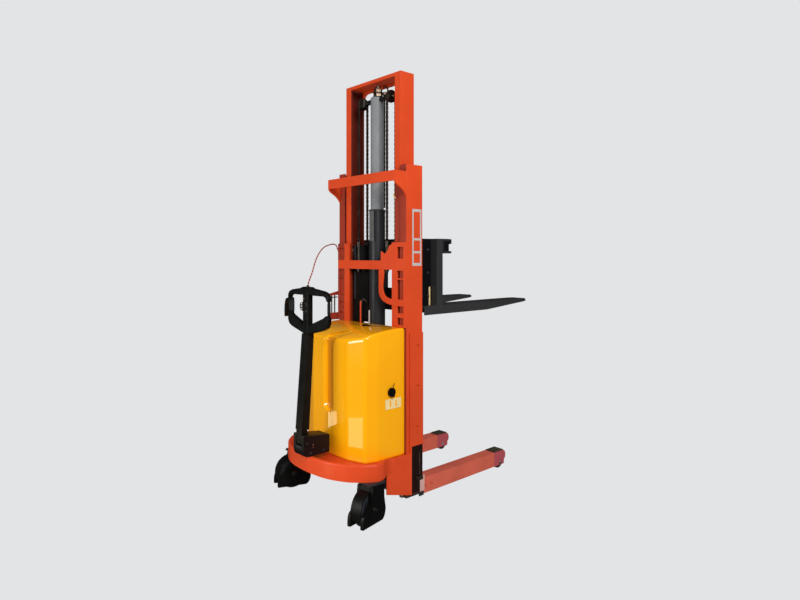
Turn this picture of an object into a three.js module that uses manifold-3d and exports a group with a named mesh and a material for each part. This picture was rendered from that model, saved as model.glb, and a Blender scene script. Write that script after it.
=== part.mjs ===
// Semi-electric walkie stacker with a two-stage mast, in millimetres.
// +Z is up, +Y runs to the fork tips and +X is the truck's right-hand side.
// Every piece is drawn with Y = 0 on the line between the rear corners of the chassis,
// and the finished truck is then centred lengthways on the origin.

import * as THREE from 'three';
import { mergeVertices } from 'three/addons/utils/BufferGeometryUtils.js';
import Module from 'manifold-3d';

const wasm = await Module();
wasm.setup();

// Driving dimensions
const FIT = 0.3; // gap between two pieces that touch
const ROUND = 32; // sides of a large cylinder
const REAR_Y = -152; // rear of the tiller bracket
const FORK_TIP_Y = 1445;

const MAST_RAISE = 514; // how far the inner mast stands above its lowest place, as drawn

const OUTER = { half: 300, rear: 331, front: 451, bottom: 50, top: 1830, reach: 53, web: 10, flange: 12 };
const INNER = { half: 243, rear: 341, front: 441, bottom: 60, top: 1830, reach: 48, web: 8, flange: 12 };

const PLATE = 10; // mast plates and bars
const SIDE_PLATE = 7.7;

const CYLINDER_Y = 380;
const BARREL = { radius: 46, bore: 41, top: 1595, floor: 30 };
const ROD_RADIUS = 38;
const ROD_BOTTOM = 800;

const SHEAVE = { x: 126, y: 377, radius: 32, width: 18, z: 2232 };
const CHAIN = { width: 15, thickness: 8, anchorZ: 1420 };

const CARRIAGE = { rear: 457, top: 1433, bottom: 1022, plate: 12 };
const FORK = { inner: 170, outer: 300, top: 1058, plate: 12, wall: 8, depth: 50 };
const SHANK = { rear: 566, front: 614 };
const BEAM_FRONT = 687;

const LEG = { inner: 207, outer: 283, bottom: 22, top: 108, wall: 8, tip: 1205 };
const LOAD_WHEEL = { radius: 40, y: 1150, axle: 10 };

const SKIRT = { bottom: 214, top: 300, thickness: 8, end: 187 };
const DECK = { bottom: 262, top: 272 };
const SIDE_REAR_TOP = 275;

const HOOD = { bottom: DECK.top + FIT, top: 950, rearTop: 908, wall: 6 };

const CASTER = { x: 333, y: 58, trail: 34, toe: THREE.MathUtils.degToRad(15), radius: 90, width: 46 };
const CASTER_TOP = SKIRT.bottom - FIT;

const TILLER = { pivotY: -132, pivotZ: 370, armTop: 930, headY: -95, headDepth: 36 };
const BRACKET = { half: 48, front: 10, rearTop: 414, frontTop: 392 };

// Solid helpers

function toManifold(geometry) {
  const bare = geometry.clone();
  bare.deleteAttribute('normal');
  bare.deleteAttribute('uv');
  const merged = mergeVertices(bare, 1e-4);
  return new wasm.Manifold(new wasm.Mesh({
    numProp: 3,
    vertProperties: new Float32Array(merged.attributes.position.array),
    triVerts: new Uint32Array(merged.index.array),
  }));
}

function fromManifold(solid) {
  const mesh = solid.getMesh();
  const geometry = new THREE.BufferGeometry();
  geometry.setAttribute('position', new THREE.BufferAttribute(new Float32Array(mesh.vertProperties), 3));
  geometry.setIndex(new THREE.BufferAttribute(new Uint32Array(mesh.triVerts), 1));
  return geometry;
}

function join(...pieces) {
  return fromManifold(pieces.map(toManifold).reduce((whole, piece) => whole.add(piece)));
}

function cut(base, ...tools) {
  return fromManifold(tools.map(toManifold).reduce((rest, tool) => rest.subtract(tool), toManifold(base)));
}

function common(first, second) {
  return fromManifold(toManifold(first).intersect(toManifold(second)));
}

function box([x0, x1], [y0, y1], [z0, z1]) {
  const geometry = new THREE.BoxGeometry(x1 - x0, y1 - y0, z1 - z0);
  return geometry.translate((x0 + x1) / 2, (y0 + y1) / 2, (z0 + z1) / 2);
}

// A round bar between two values along one axis; centre holds the other two coordinates in X, Y, Z order.
function bar(axis, [from, to], centre, radius, sides = ROUND) {
  const geometry = new THREE.CylinderGeometry(radius, radius, to - from, sides);
  const middle = (from + to) / 2;
  if (axis === 'x') return geometry.rotateZ(-Math.PI / 2).translate(middle, centre[0], centre[1]);
  if (axis === 'y') return geometry.translate(centre[0], middle, centre[1]);
  return geometry.rotateX(Math.PI / 2).translate(centre[0], centre[1], middle);
}

function asShape(outline) {
  if (outline instanceof THREE.Shape) return outline;
  return new THREE.Shape(outline.map(([a, b]) => new THREE.Vector2(a, b)));
}

// Local axes of an outline drawn across each extrusion direction
const BASES = {
  x: [new THREE.Vector3(0, 1, 0), new THREE.Vector3(0, 0, 1), new THREE.Vector3(1, 0, 0)],
  y: [new THREE.Vector3(1, 0, 0), new THREE.Vector3(0, 0, 1), new THREE.Vector3(0, -1, 0)],
  z: [new THREE.Vector3(1, 0, 0), new THREE.Vector3(0, 1, 0), new THREE.Vector3(0, 0, 1)],
};

// Extrudes an outline from one value to another: (Y, Z) along x, (X, Z) along y, (X, Y) along z.
function prism(axis, [from, to], outline, curveSegments = 8) {
  const settings = { depth: to - from, bevelEnabled: false, curveSegments };
  const geometry = new THREE.ExtrudeGeometry(asShape(outline), settings);
  const start = axis === 'y' ? -to : from;
  geometry.translate(0, 0, start);
  return geometry.applyMatrix4(new THREE.Matrix4().makeBasis(...BASES[axis]));
}

function turned(profile, sides = ROUND) {
  const points = profile.map(([radius, z]) => new THREE.Vector2(radius, z));
  return new THREE.LatheGeometry(points, sides).rotateX(Math.PI / 2);
}

function tube(points, radius, steps, sides = 8) {
  const path = new THREE.CatmullRomCurve3(points.map(([x, y, z]) => new THREE.Vector3(x, y, z)));
  const corners = Array.from({ length: sides }, (_, index) => {
    const angle = (2 * Math.PI * index) / sides;
    return [radius * Math.cos(angle), radius * Math.sin(angle)];
  });
  return new THREE.ExtrudeGeometry(asShape(corners), { steps, bevelEnabled: false, extrudePath: path });
}

function mirrored(geometry) {
  const copy = geometry.clone().scale(-1, 1, 1);
  const flat = copy.index ? copy.toNonIndexed() : copy;
  const position = flat.attributes.position;
  for (let corner = 0; corner < position.count; corner += 3) {
    const first = new THREE.Vector3().fromBufferAttribute(position, corner);
    const last = new THREE.Vector3().fromBufferAttribute(position, corner + 2);
    position.setXYZ(corner, last.x, last.y, last.z);
    position.setXYZ(corner + 2, first.x, first.y, first.z);
  }
  flat.deleteAttribute('normal');
  flat.deleteAttribute('uv');
  return flat;
}

// Moves each point of an open outline sideways, to the left of its direction of travel.
function shifted(points, distance) {
  return points.map(([x, y], index) => {
    const before = points[Math.max(index - 1, 0)];
    const after = points[Math.min(index + 1, points.length - 1)];
    const along = new THREE.Vector2(after[0] - before[0], after[1] - before[1]).normalize();
    return [x - along.y * distance, y + along.x * distance];
  });
}

function smoothCurve(points, count) {
  const spline = new THREE.SplineCurve(points.map(([x, y]) => new THREE.Vector2(x, y)));
  return spline.getPoints(count).map((point) => [point.x, point.y]);
}

// Materials

function paint(color, roughness, metalness = 0) {
  return () => new THREE.MeshStandardMaterial({ color, roughness, metalness });
}

const orangePaint = paint(0xdc5028, 0.45);
const yellowPaint = paint(0xffb305, 0.2);
const blackPaint = paint(0x1c1d1f, 0.4, 0.2);
const blackPlastic = paint(0x161616, 0.5);
const brightSteel = paint(0x9a9c9e, 0.25, 0.9);
const darkSteel = paint(0x4b4743, 0.45, 0.8);
const polyurethane = paint(0x14120f, 0.55);
const copperCable = paint(0x9c3a22, 0.5);
const rubberHose = paint(0x2a1a14, 0.7);
const batteryCase = paint(0x2c2f33, 0.6);
const castMetal = paint(0x6a6c70, 0.5, 0.6);

// Scene graph

const truck = new THREE.Group();
truck.position.y = -(REAR_Y + FORK_TIP_Y) / 2;

function place(group, name, geometry, material) {
  const mesh = new THREE.Mesh(geometry, material());
  mesh.name = name;
  group.add(mesh);
}

function placePair(group, name, rightGeometry, material) {
  place(group, `${name}_right`, rightGeometry, material);
  place(group, `${name}_left`, mirrored(rightGeometry), material);
}

// Mast

function channelSection(stage) {
  const outside = stage.half;
  const inside = stage.half - stage.reach;
  const webFace = outside - stage.web;
  return [
    [inside, stage.rear], [outside, stage.rear], [outside, stage.front], [inside, stage.front],
    [inside, stage.front - stage.flange], [webFace, stage.front - stage.flange],
    [webFace, stage.rear + stage.flange], [inside, stage.rear + stage.flange],
  ];
}

function outerChannel() {
  return prism('z', [OUTER.bottom, OUTER.top], channelSection(OUTER));
}

const ROLLER_AXLE = 12;
const MAST_ROLLER = { radius: 47, z: 600, inner: 250, outer: 288 };
const CARRIAGE_ROLLER = { radius: 37.5, z: 1360, inner: 197, outer: 232 };
const MAST_MIDDLE_Y = (OUTER.rear + OUTER.front) / 2;

function innerChannel() {
  const channel = prism('z', [INNER.bottom + MAST_RAISE, INNER.top + MAST_RAISE], channelSection(INNER));
  const reach = [INNER.half - 2, MAST_ROLLER.outer - 2];
  const axle = bar('x', reach, [MAST_MIDDLE_Y, MAST_ROLLER.z], ROLLER_AXLE);
  return join(channel, axle);
}

function roller({ radius, z, inner, outer }) {
  const bore = ROLLER_AXLE + FIT;
  const profile = [[bore, inner], [radius - 3, inner], [radius, inner + 3], [radius, outer - 3],
    [radius - 3, outer], [bore, outer], [bore, inner]];
  return turned(profile).rotateY(Math.PI / 2).translate(0, MAST_MIDDLE_Y, z);
}

const TOP_BEAM = { middle: 30, ends: 150 };

function innerTopBeam() {
  const { middle, ends } = TOP_BEAM;
  const half = INNER.half - INNER.reach - FIT;
  const top = INNER.top + MAST_RAISE;
  const arch = new THREE.Shape();
  arch.moveTo(-half, top);
  arch.lineTo(-half, top - ends);
  arch.bezierCurveTo(-half + 6, top - 60, -half + 50, top - middle - 4, -half + 110, top - middle);
  arch.lineTo(half - 110, top - middle);
  arch.bezierCurveTo(half - 50, top - middle - 4, half - 6, top - 60, half, top - ends);
  arch.lineTo(half, top);
  const rear = prism('y', [INNER.rear, INNER.rear + INNER.flange], arch);
  const front = prism('y', [INNER.front - INNER.flange, INNER.front], arch);
  const cap = box([-half, half], [INNER.rear, INNER.front], [top - INNER.flange, top]);
  return join(rear, front, cap);
}

function innerTie() {
  const bottom = INNER.bottom + MAST_RAISE;
  return box([-INNER.half, INNER.half], [INNER.front + FIT, OUTER.front - 1], [bottom, bottom + 32]);
}

// Band behind the top of the fixed mast, bent round to both uprights, with a curved gusset under each end
function upperCrossbar() {
  const rear = 248;
  const top = 1790;
  const bottom = 1735;
  const end = OUTER.rear - FIT;
  const band = box([-OUTER.half, OUTER.half], [rear, rear + PLATE], [bottom, top]);
  const side = new THREE.Shape();
  side.moveTo(rear, top);
  side.lineTo(rear, bottom);
  side.bezierCurveTo(rear + 10, bottom - 30, end - 30, bottom - 24, end, bottom - 75);
  side.lineTo(end, top);
  const rightArm = prism('x', [OUTER.half - PLATE, OUTER.half], side);
  return join(band, rightArm, mirrored(rightArm));
}

const FACE = { rear: OUTER.rear - PLATE, front: OUTER.rear - FIT, inner: 193 };
const MIDDLE_BAR = { bottom: 1260, top: 1310 };
const STEP_WINDOWS = [[964, 1002], [1026, 1064], [1100, 1207], [1215, 1256], [1322, 1385]];
const ANCHOR_HOLE = 8.3;
const CHAIN_REAR_Y = SHEAVE.y - SHEAVE.radius;
const CHAIN_FRONT_Y = SHEAVE.y + SHEAVE.radius;

// One cut sheet on the back of the fixed mast: two ladder strips and the middle crossbar between them
function mastFacePlate() {
  const strip = box([FACE.inner, OUTER.half], [FACE.rear, FACE.front], [HOOD.top + FIT, 1410]);
  const through = [FACE.rear - 1, FACE.front + 1];
  const windows = STEP_WINDOWS.map((heights) => box([235, 285], through, heights));
  const ladder = cut(strip, ...windows);
  const reach = FACE.inner + 1;
  const crossbar = box([-reach, reach], [FACE.rear, FACE.front], [MIDDLE_BAR.bottom, MIDDLE_BAR.top]);
  const horn = new THREE.Shape();
  horn.moveTo(FACE.inner + 1, MIDDLE_BAR.top - 1);
  horn.lineTo(100, MIDDLE_BAR.top - 1);
  horn.lineTo(100, 1362);
  horn.lineTo(132, 1346);
  horn.quadraticCurveTo(158, 1360, 168, 1390);
  horn.lineTo(FACE.inner + 1, 1402);
  const hornPlate = prism('y', [FACE.rear, FACE.front], horn);
  const lug = box([SHEAVE.x - 16, SHEAVE.x + 16], [FACE.rear, CHAIN_REAR_Y + 16], [1272, 1290]);
  const hole = bar('z', [1250, 1320], [SHEAVE.x, CHAIN_REAR_Y], ANCHOR_HOLE, 16);
  return cut(join(ladder, mirrored(ladder), crossbar, hornPlate, lug, mirrored(lug)), hole, mirrored(hole));
}

// Curved arm below the crossbar, on the operator's right
function grabHandle() {
  const inner = 80;
  const outer = FACE.inner - FIT;
  const top = MIDDLE_BAR.bottom - FIT;
  const bottom = 1067;
  const arm = new THREE.Shape();
  arm.moveTo(inner, top);
  arm.lineTo(inner, 1150);
  arm.bezierCurveTo(inner, 1095, inner + 45, bottom + 4, outer, bottom);
  arm.lineTo(outer, bottom + 34);
  arm.bezierCurveTo(inner + 64, bottom + 32, inner + 32, 1120, inner + 34, 1170);
  arm.lineTo(inner + 46, top);
  return prism('y', [FACE.rear, FACE.front], arm);
}

function mastBase() {
  return box([-OUTER.half, OUTER.half], [OUTER.rear, OUTER.front], [38, OUTER.bottom - FIT]);
}

// Lift cylinder, chains and sheaves

function liftBarrel() {
  const { radius, bore, top, floor } = BARREL;
  const bottom = OUTER.bottom;
  const gland = ROD_RADIUS + FIT;
  const profile = [
    [0, bottom], [radius, bottom], [radius, top], [gland, top],
    [gland, top - 40], [bore, top - 40], [bore, bottom + floor], [0, bottom + floor],
  ];
  return turned(profile).translate(0, CYLINDER_Y, 0);
}

function pistonRod() {
  const top = INNER.top + MAST_RAISE - TOP_BEAM.middle - FIT;
  return bar('z', [ROD_BOTTOM, top], [0, CYLINDER_Y], ROD_RADIUS);
}

function sheaveCrosshead() {
  const { x, y, width, z } = SHEAVE;
  const body = box([-x + width / 2 + 2, x - width / 2 - 2], [y - 20, y + 20], [z - 20, z + 20]);
  const collar = bar('z', [z - 20, z + 20], [0, CYLINDER_Y], ROD_RADIUS + 10);
  const rodHole = bar('z', [z - 30, z + 30], [0, CYLINDER_Y], ROD_RADIUS + FIT);
  const pin = bar('x', [-x - width, x + width], [y, z], ROLLER_AXLE);
  return cut(join(body, collar, pin), rodHole);
}

function chainSheave() {
  const { x, y, radius, width, z } = SHEAVE;
  const bore = ROLLER_AXLE + FIT;
  const groove = radius - CHAIN.thickness / 2 - FIT;
  const half = width / 2;
  const profile = [[bore, -half], [radius + 3, -half], [radius + 3, -half + 1], [groove, -half + 1],
    [groove, half - 1], [radius + 3, half - 1], [radius + 3, half], [bore, half], [bore, -half]];
  return turned(profile).rotateY(Math.PI / 2).translate(x, y, z);
}

// Run from the anchor on the fixed mast up to the sheave, and over its top
function rearChain() {
  const half = CHAIN.thickness / 2;
  const low = SHEAVE.radius - half;
  const high = SHEAVE.radius + half;
  const run = new THREE.Shape();
  run.moveTo(SHEAVE.y - high, CHAIN.anchorZ);
  run.lineTo(SHEAVE.y - low, CHAIN.anchorZ);
  run.lineTo(SHEAVE.y - low, SHEAVE.z);
  run.absarc(SHEAVE.y, SHEAVE.z, low, Math.PI, 0, true);
  run.lineTo(SHEAVE.y + high, SHEAVE.z);
  run.absarc(SHEAVE.y, SHEAVE.z, high, 0, Math.PI, false);
  const side = CHAIN.width / 2;
  return prism('x', [SHEAVE.x - side, SHEAVE.x + side], run);
}

const CHAIN_LUG = { bottom: 1400, top: 1418 };

function frontChain() {
  const side = CHAIN.width / 2;
  const half = CHAIN.thickness / 2;
  const x = [SHEAVE.x - side, SHEAVE.x + side];
  return box(x, [CHAIN_FRONT_Y - half, CHAIN_FRONT_Y + half], [CHAIN_LUG.top + FIT, SHEAVE.z - FIT]);
}

function chainAnchor() {
  const stud = bar('z', [1240, CHAIN.anchorZ - FIT], [SHEAVE.x, CHAIN_REAR_Y], ANCHOR_HOLE - FIT, 16);
  const nut = bar('z', [1250, 1271.5], [SHEAVE.x, CHAIN_REAR_Y], 13, 6);
  const clevis = bar('z', [1385, CHAIN.anchorZ - FIT], [SHEAVE.x, CHAIN_REAR_Y], 11, 16);
  return join(stud, nut, clevis);
}

// Carriage and forks

function carriageBackPlate() {
  const { rear, top, plate, bottom } = CARRIAGE;
  const half = 238;
  const middle = FORK.inner - 4;
  const shoulder = FORK.top + FIT;
  const outline = asShape([[-half, top], [-half, shoulder], [-middle, shoulder], [-middle, bottom],
    [middle, bottom], [middle, shoulder], [half, shoulder], [half, top]]);
  outline.holes.push(new THREE.Path([[-150, 1150], [-150, 1256], [150, 1256], [150, 1150]]
    .map(([x, z]) => new THREE.Vector2(x, z))));
  const back = prism('y', [rear, rear + plate], outline);
  const arm = box([172, 190], [MAST_MIDDLE_Y - 34, rear + 1], [1080, 1400]);
  const reach = [189, CARRIAGE_ROLLER.outer - 2];
  const axle = bar('x', reach, [MAST_MIDDLE_Y, CARRIAGE_ROLLER.z], ROLLER_AXLE);
  const { bottom: lugBottom, top: lugTop } = CHAIN_LUG;
  const lug = box([SHEAVE.x - 14, SHEAVE.x + 14], [CHAIN_FRONT_Y - 12, rear + 1], [lugBottom, lugTop]);
  const rightSide = join(arm, axle, lug);
  return join(back, arm, axle, lug, mirrored(rightSide));
}

function carriageSidePlate() {
  return box([238 + FIT, 252], [CARRIAGE.rear, SHANK.rear - FIT], [FORK.top + FIT, CARRIAGE.top]);
}

// Forward-facing channel beam across the top of the fork shanks
function carriageTopBeam() {
  const rear = SHANK.front + FIT;
  const bottom = 1350;
  const flange = 14;
  const { top } = CARRIAGE;
  const section = [
    [rear, top], [rear, bottom], [BEAM_FRONT - 6, bottom], [BEAM_FRONT - 6, bottom + flange],
    [rear + PLATE, bottom + flange], [rear + PLATE, top - flange], [BEAM_FRONT, top - flange],
    [BEAM_FRONT, top - 4], [BEAM_FRONT - 20, top],
  ];
  return prism('x', [-FORK.outer, FORK.outer], section);
}

// Fork blade as an open-bottomed channel that can sink over the support leg, with a solid tip
function fork() {
  const { inner, outer, top, plate, wall, depth } = FORK;
  const middle = (inner + outer) / 2;
  const heel = CARRIAGE.rear + CARRIAGE.plate + FIT;
  const taper = 1010;
  const tipStart = FORK_TIP_Y - 120;
  const plan = new THREE.Shape();
  plan.moveTo(inner, heel);
  plan.lineTo(outer, heel);
  plan.lineTo(outer, tipStart);
  plan.quadraticCurveTo(outer - 8, FORK_TIP_Y - 14, middle + 24, FORK_TIP_Y);
  plan.lineTo(middle - 24, FORK_TIP_Y);
  plan.quadraticCurveTo(inner + 8, FORK_TIP_Y - 14, inner, tipStart);
  const side = [[heel, top], [heel, top - depth], [taper, top - depth], [tipStart, top - 24],
    [FORK_TIP_Y, top - 18], [FORK_TIP_Y, top - 10], [FORK_TIP_Y - 40, top]];
  const planned = prism('z', [top - depth - 1, top + 1], plan);
  const blade = common(planned, prism('x', [inner - 1, outer + 1], side));
  const underside = [top - depth - 2, top - plate];
  const hollow = box([inner + wall, outer - wall], [heel - 1, tipStart - 20], underside);
  const shank = box([inner, outer], [SHANK.rear, SHANK.front], [top - 1, CARRIAGE.top]);
  return join(cut(blade, hollow), shank);
}

// Chassis

function supportLeg() {
  const { inner, outer, bottom, top, wall, tip } = LEG;
  const root = OUTER.front + FIT;
  const nose = new THREE.Shape();
  nose.moveTo(root, top);
  nose.lineTo(root, bottom);
  nose.lineTo(tip - 16, bottom);
  nose.lineTo(tip - 12, 52);
  nose.quadraticCurveTo(tip, 56, tip, 74);
  nose.quadraticCurveTo(tip, top, tip - 30, top);
  const cheek = [prism('x', [inner, inner + wall], nose), prism('x', [outer - wall, outer], nose)];
  const coverEnd = LOAD_WHEEL.y - LOAD_WHEEL.radius - 14;
  const cover = box([inner + 1, outer - 1], [root, coverEnd], [top - wall, top]);
  const foot = box([inner + 1, outer - 1], [root, root + PLATE], [bottom, top]);
  const centre = [LOAD_WHEEL.y, LOAD_WHEEL.radius];
  const axleHole = bar('x', [inner - 1, outer + 1], centre, LOAD_WHEEL.axle + FIT);
  return cut(join(...cheek, cover, foot), axleHole);
}

function loadAxle() {
  return bar('x', [LEG.inner, LEG.outer], [LOAD_WHEEL.y, LOAD_WHEEL.radius], LOAD_WHEEL.axle);
}

function loadRoller() {
  const bore = LOAD_WHEEL.axle + FIT;
  const from = LEG.inner + LEG.wall + 2;
  const to = LEG.outer - LEG.wall - 2;
  const rim = LOAD_WHEEL.radius;
  const profile = [
    [bore, from], [rim - 3, from], [rim, from + 3], [rim, to - 3], [rim - 3, to], [bore, to], [bore, from],
  ];
  return turned(profile, 40).rotateY(Math.PI / 2).translate(0, LOAD_WHEEL.y, LOAD_WHEEL.radius);
}

function sidePlate() {
  const front = OUTER.front - 1;
  const cutoutRear = 365;
  const upperRear = 352;
  const outline = [[upperRear, 920], [front, 920], [front, 310], [cutoutRear, 310], [cutoutRear, 50],
    [SKIRT.end, 98], [SKIRT.end, SIDE_REAR_TOP], [upperRear, SIDE_REAR_TOP]];
  return prism('x', [OUTER.half + FIT, OUTER.half + FIT + SIDE_PLATE], outline);
}

// Plan of the rear bumper, from the left side plate round the back to the right one
function skirtPlan() {
  const flare = [[308, SKIRT.end - 1.5], [308, 178], [316, 164], [345, 148], [376, 114]];
  const corner = [[362, 58], [322, 0], [262, -52], [150, -98]];
  const right = [...flare, ...corner];
  const left = right.map(([x, y]) => [-x, y]);
  return smoothCurve([...left, [0, -112], ...right.slice().reverse()], 72);
}

function rearSkirt() {
  const outer = skirtPlan();
  const inner = shifted(outer, SKIRT.thickness).reverse();
  return prism('z', [SKIRT.bottom, SKIRT.top], [...outer, ...inner]);
}

function chassisDeck() {
  const edge = shifted(skirtPlan(), SKIRT.thickness + FIT);
  const half = edge[edge.length - 1][0];
  const outline = [...edge, [half, OUTER.rear - FIT], [-half, OUTER.rear - FIT]];
  return prism('z', [DECK.bottom, DECK.top], outline);
}

// Hood: one moulded shell, open below and towards the mast

function hoodPlan(inset, front) {
  const corner = [246 - inset, 62 + inset];
  const right = [[284 - inset, front], [283 - inset, 150], [273 - inset, 98 + inset], corner];
  const across = [corner, [150, 44 + inset], [0, 37 + inset], [-150, 44 + inset], [-corner[0], corner[1]]];
  const rear = smoothCurve(across, 16);
  const left = right.slice(0, 3).reverse().map(([x, y]) => [-x, y]);
  return [...right.slice(0, 3), ...rear, ...left];
}

function hoodProfile(inset, bottom) {
  const rise = new THREE.Shape();
  const top = HOOD.top - inset;
  const rearTop = HOOD.rearTop - inset;
  rise.moveTo(20, bottom);
  rise.lineTo(340, bottom);
  rise.lineTo(340, top);
  rise.quadraticCurveTo(150, top, 90, rearTop + 12);
  rise.quadraticCurveTo(55, rearTop, 20 + inset, rearTop - 34);
  return rise;
}

function hood() {
  const front = OUTER.rear - FIT;
  const outside = common(
    prism('z', [HOOD.bottom, HOOD.top + 10], hoodPlan(0, front)),
    prism('x', [-300, 300], hoodProfile(0, HOOD.bottom), 6),
  );
  const inside = common(
    prism('z', [HOOD.bottom - 5, HOOD.top + 10], hoodPlan(HOOD.wall, front + 5)),
    prism('x', [-300, 300], hoodProfile(HOOD.wall, HOOD.bottom - 5), 6),
  );
  return cut(outside, inside);
}

// Energy and hydraulics inside the hood

const FLOOR_Z = DECK.top + FIT;

function battery() {
  const posts = [-215, -25].map((x) => bar('z', [FLOOR_Z + 210, FLOOR_Z + 228], [x, 250], 9, 16));
  return join(box([-245, 5], [105, 300], [FLOOR_Z, FLOOR_Z + 212]), ...posts);
}

function powerPack() {
  const tank = box([40, 245], [215, 310], [FLOOR_Z, FLOOR_Z + 200]);
  const valve = box([110, 190], [120, 225], [FLOOR_Z, FLOOR_Z + 80]);
  const motor = bar('z', [FLOOR_Z + 70, FLOOR_Z + 240], [150, 160], 52);
  return join(tank, valve, motor);
}

function motorController() {
  return box([-200, -70], [120, 230], [FLOOR_Z + 212 + FIT, FLOOR_Z + 262]);
}

function hydraulicHose() {
  const route = [
    [60, 300, 481], [52, 306, 530], [-10, 314, 600], [-70, 328, 680], [-100, 343, 780],
    [-106, 345, 920], [-104, 346, 1050], [-94, 354, 1080], [-76, 366, 1064], [-56, CYLINDER_Y, 1010],
  ];
  return tube(route, 6.5, 60);
}

// Casters, drawn rolling along +Y around their own swivel axis

function casterBearing() {
  const { x, y } = CASTER;
  const plate = box([x - 55, x + 52], [y - 52, y + 52], [CASTER_TOP - 10, CASTER_TOP]);
  const pedestal = box([x - 53, x - 13], [y - 42, y + 42], [CASTER_TOP - 1, DECK.bottom - FIT]);
  return join(plate, pedestal);
}

const YOKE = { top: CASTER_TOP - 12, inner: 30, outer: 48 };
const FENDER = { from: THREE.MathUtils.degToRad(80), to: THREE.MathUtils.degToRad(205) };

function casterYoke() {
  const { trail, radius } = CASTER;
  const cheek = new THREE.Shape();
  cheek.moveTo(-48, YOKE.top);
  cheek.lineTo(-60, 120);
  cheek.lineTo(-trail - radius + 4, 84);
  cheek.quadraticCurveTo(-trail - radius - 8, 70, -trail - radius - 6, 24);
  cheek.lineTo(34, 18);
  cheek.quadraticCurveTo(60, 30, 62, 70);
  cheek.lineTo(50, 130);
  cheek.lineTo(50, YOKE.top);
  const right = prism('x', [YOKE.inner, YOKE.outer], cheek);
  const crown = box([-YOKE.outer, YOKE.outer], [-48, 50], [radius * 2 + 6, YOKE.top]);
  const axle = bar('x', [-YOKE.inner - 1, YOKE.inner + 1], [-trail, radius], 10, 24);
  const arc = new THREE.Shape();
  arc.absarc(-trail, radius, radius + 4.5, FENDER.from, FENDER.to, false);
  arc.absarc(-trail, radius, radius + 2, FENDER.to, FENDER.from, true);
  const fender = prism('x', [-YOKE.inner - 1, YOKE.inner + 1], arc, 16);
  return join(right, mirrored(right), crown, axle, fender);
}

function casterWheel() {
  const { radius, width, trail } = CASTER;
  const half = width / 2;
  const bore = 10 + FIT;
  const profile = [
    [bore, -half - 4], [24, -half - 4], [24, -half], [radius - 8, -half],
    [radius, -half + 8], [radius, half - 8],
    [radius - 8, half], [24, half], [24, half + 4], [bore, half + 4], [bore, -half - 4],
  ];
  return turned(profile, 48).rotateY(Math.PI / 2).translate(0, -trail, radius);
}

// Tiller

function tillerBracket() {
  const { half, front, rearTop, frontTop } = BRACKET;
  const { pivotY, pivotZ } = TILLER;
  const outline = new THREE.Shape();
  outline.moveTo(front, SKIRT.top + FIT);
  outline.lineTo(front, frontTop);
  outline.lineTo(REAR_Y, rearTop);
  outline.lineTo(REAR_Y, 330);
  outline.quadraticCurveTo(REAR_Y + 2, SKIRT.top + FIT, REAR_Y + 30, SKIRT.top + FIT);
  const slot = box([-26, 26], [REAR_Y - 1, pivotY + 30], [pivotZ - 30, rearTop + 1]);
  const pin = bar('x', [-half + 4, half - 4], [pivotY, pivotZ], 8, 20);
  return join(cut(prism('x', [-half, half], outline), slot), pin);
}

function tillerArm() {
  const { pivotY, pivotZ, armTop, headY } = TILLER;
  const shaft = [[-152, 436], [-106, 436], [headY + 18, armTop - FIT], [headY - 18, armTop - FIT]];
  const tongue = new THREE.Shape();
  tongue.moveTo(pivotY + 18, 440);
  tongue.lineTo(pivotY - 18, 440);
  tongue.lineTo(pivotY - 18, pivotZ);
  tongue.absarc(pivotY, pivotZ, 18, Math.PI, 2 * Math.PI, false);
  const eye = bar('x', [-30, 30], [pivotY, pivotZ], 8 + FIT, 20);
  return cut(join(prism('x', [-30, 30], shaft), prism('x', [-25, 25], tongue)), eye);
}

const BUTTON = { radius: 10, spots: { lift: 1082, lower: 1046 }, travel: 3 };

// Control head: a flat ring with two hand openings and a stem between them
function tillerHead() {
  const { headY, headDepth, armTop } = TILLER;
  const rear = headY - headDepth / 2;
  const front = headY + headDepth / 2;
  const outline = new THREE.Shape();
  outline.moveTo(-34, armTop);
  outline.lineTo(34, armTop);
  outline.lineTo(150, 962);
  outline.quadraticCurveTo(192, 974, 192, 1010);
  outline.lineTo(192, 1132);
  outline.quadraticCurveTo(192, 1144, 178, 1148);
  outline.quadraticCurveTo(90, 1166, 50, 1168);
  outline.lineTo(-50, 1168);
  outline.quadraticCurveTo(-110, 1166, -160, 1146);
  outline.quadraticCurveTo(-188, 1134, -190, 1100);
  outline.lineTo(-190, 1010);
  outline.quadraticCurveTo(-190, 974, -150, 962);
  outline.lineTo(-34, armTop);
  const opening = new THREE.Shape();
  opening.moveTo(34, 988);
  opening.lineTo(158, 1016);
  opening.quadraticCurveTo(174, 1020, 174, 1036);
  opening.lineTo(174, 1118);
  opening.quadraticCurveTo(174, 1130, 162, 1132);
  opening.lineTo(48, 1142);
  opening.quadraticCurveTo(34, 1142, 34, 1128);
  const loop = prism('y', [rear - 1, front + 1], opening);
  const spots = Object.values(BUTTON.spots);
  const pockets = spots.map((z) => bar('y', [rear - 1, rear + 14], [0, z], BUTTON.radius + FIT, 20));
  return cut(prism('y', [rear, front], outline), loop, mirrored(loop), ...pockets);
}

function headButton(z) {
  const rear = TILLER.headY - TILLER.headDepth / 2;
  return bar('y', [rear - BUTTON.travel - 2, rear + 14 - BUTTON.travel - 1], [0, z], BUTTON.radius, 20);
}

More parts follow.
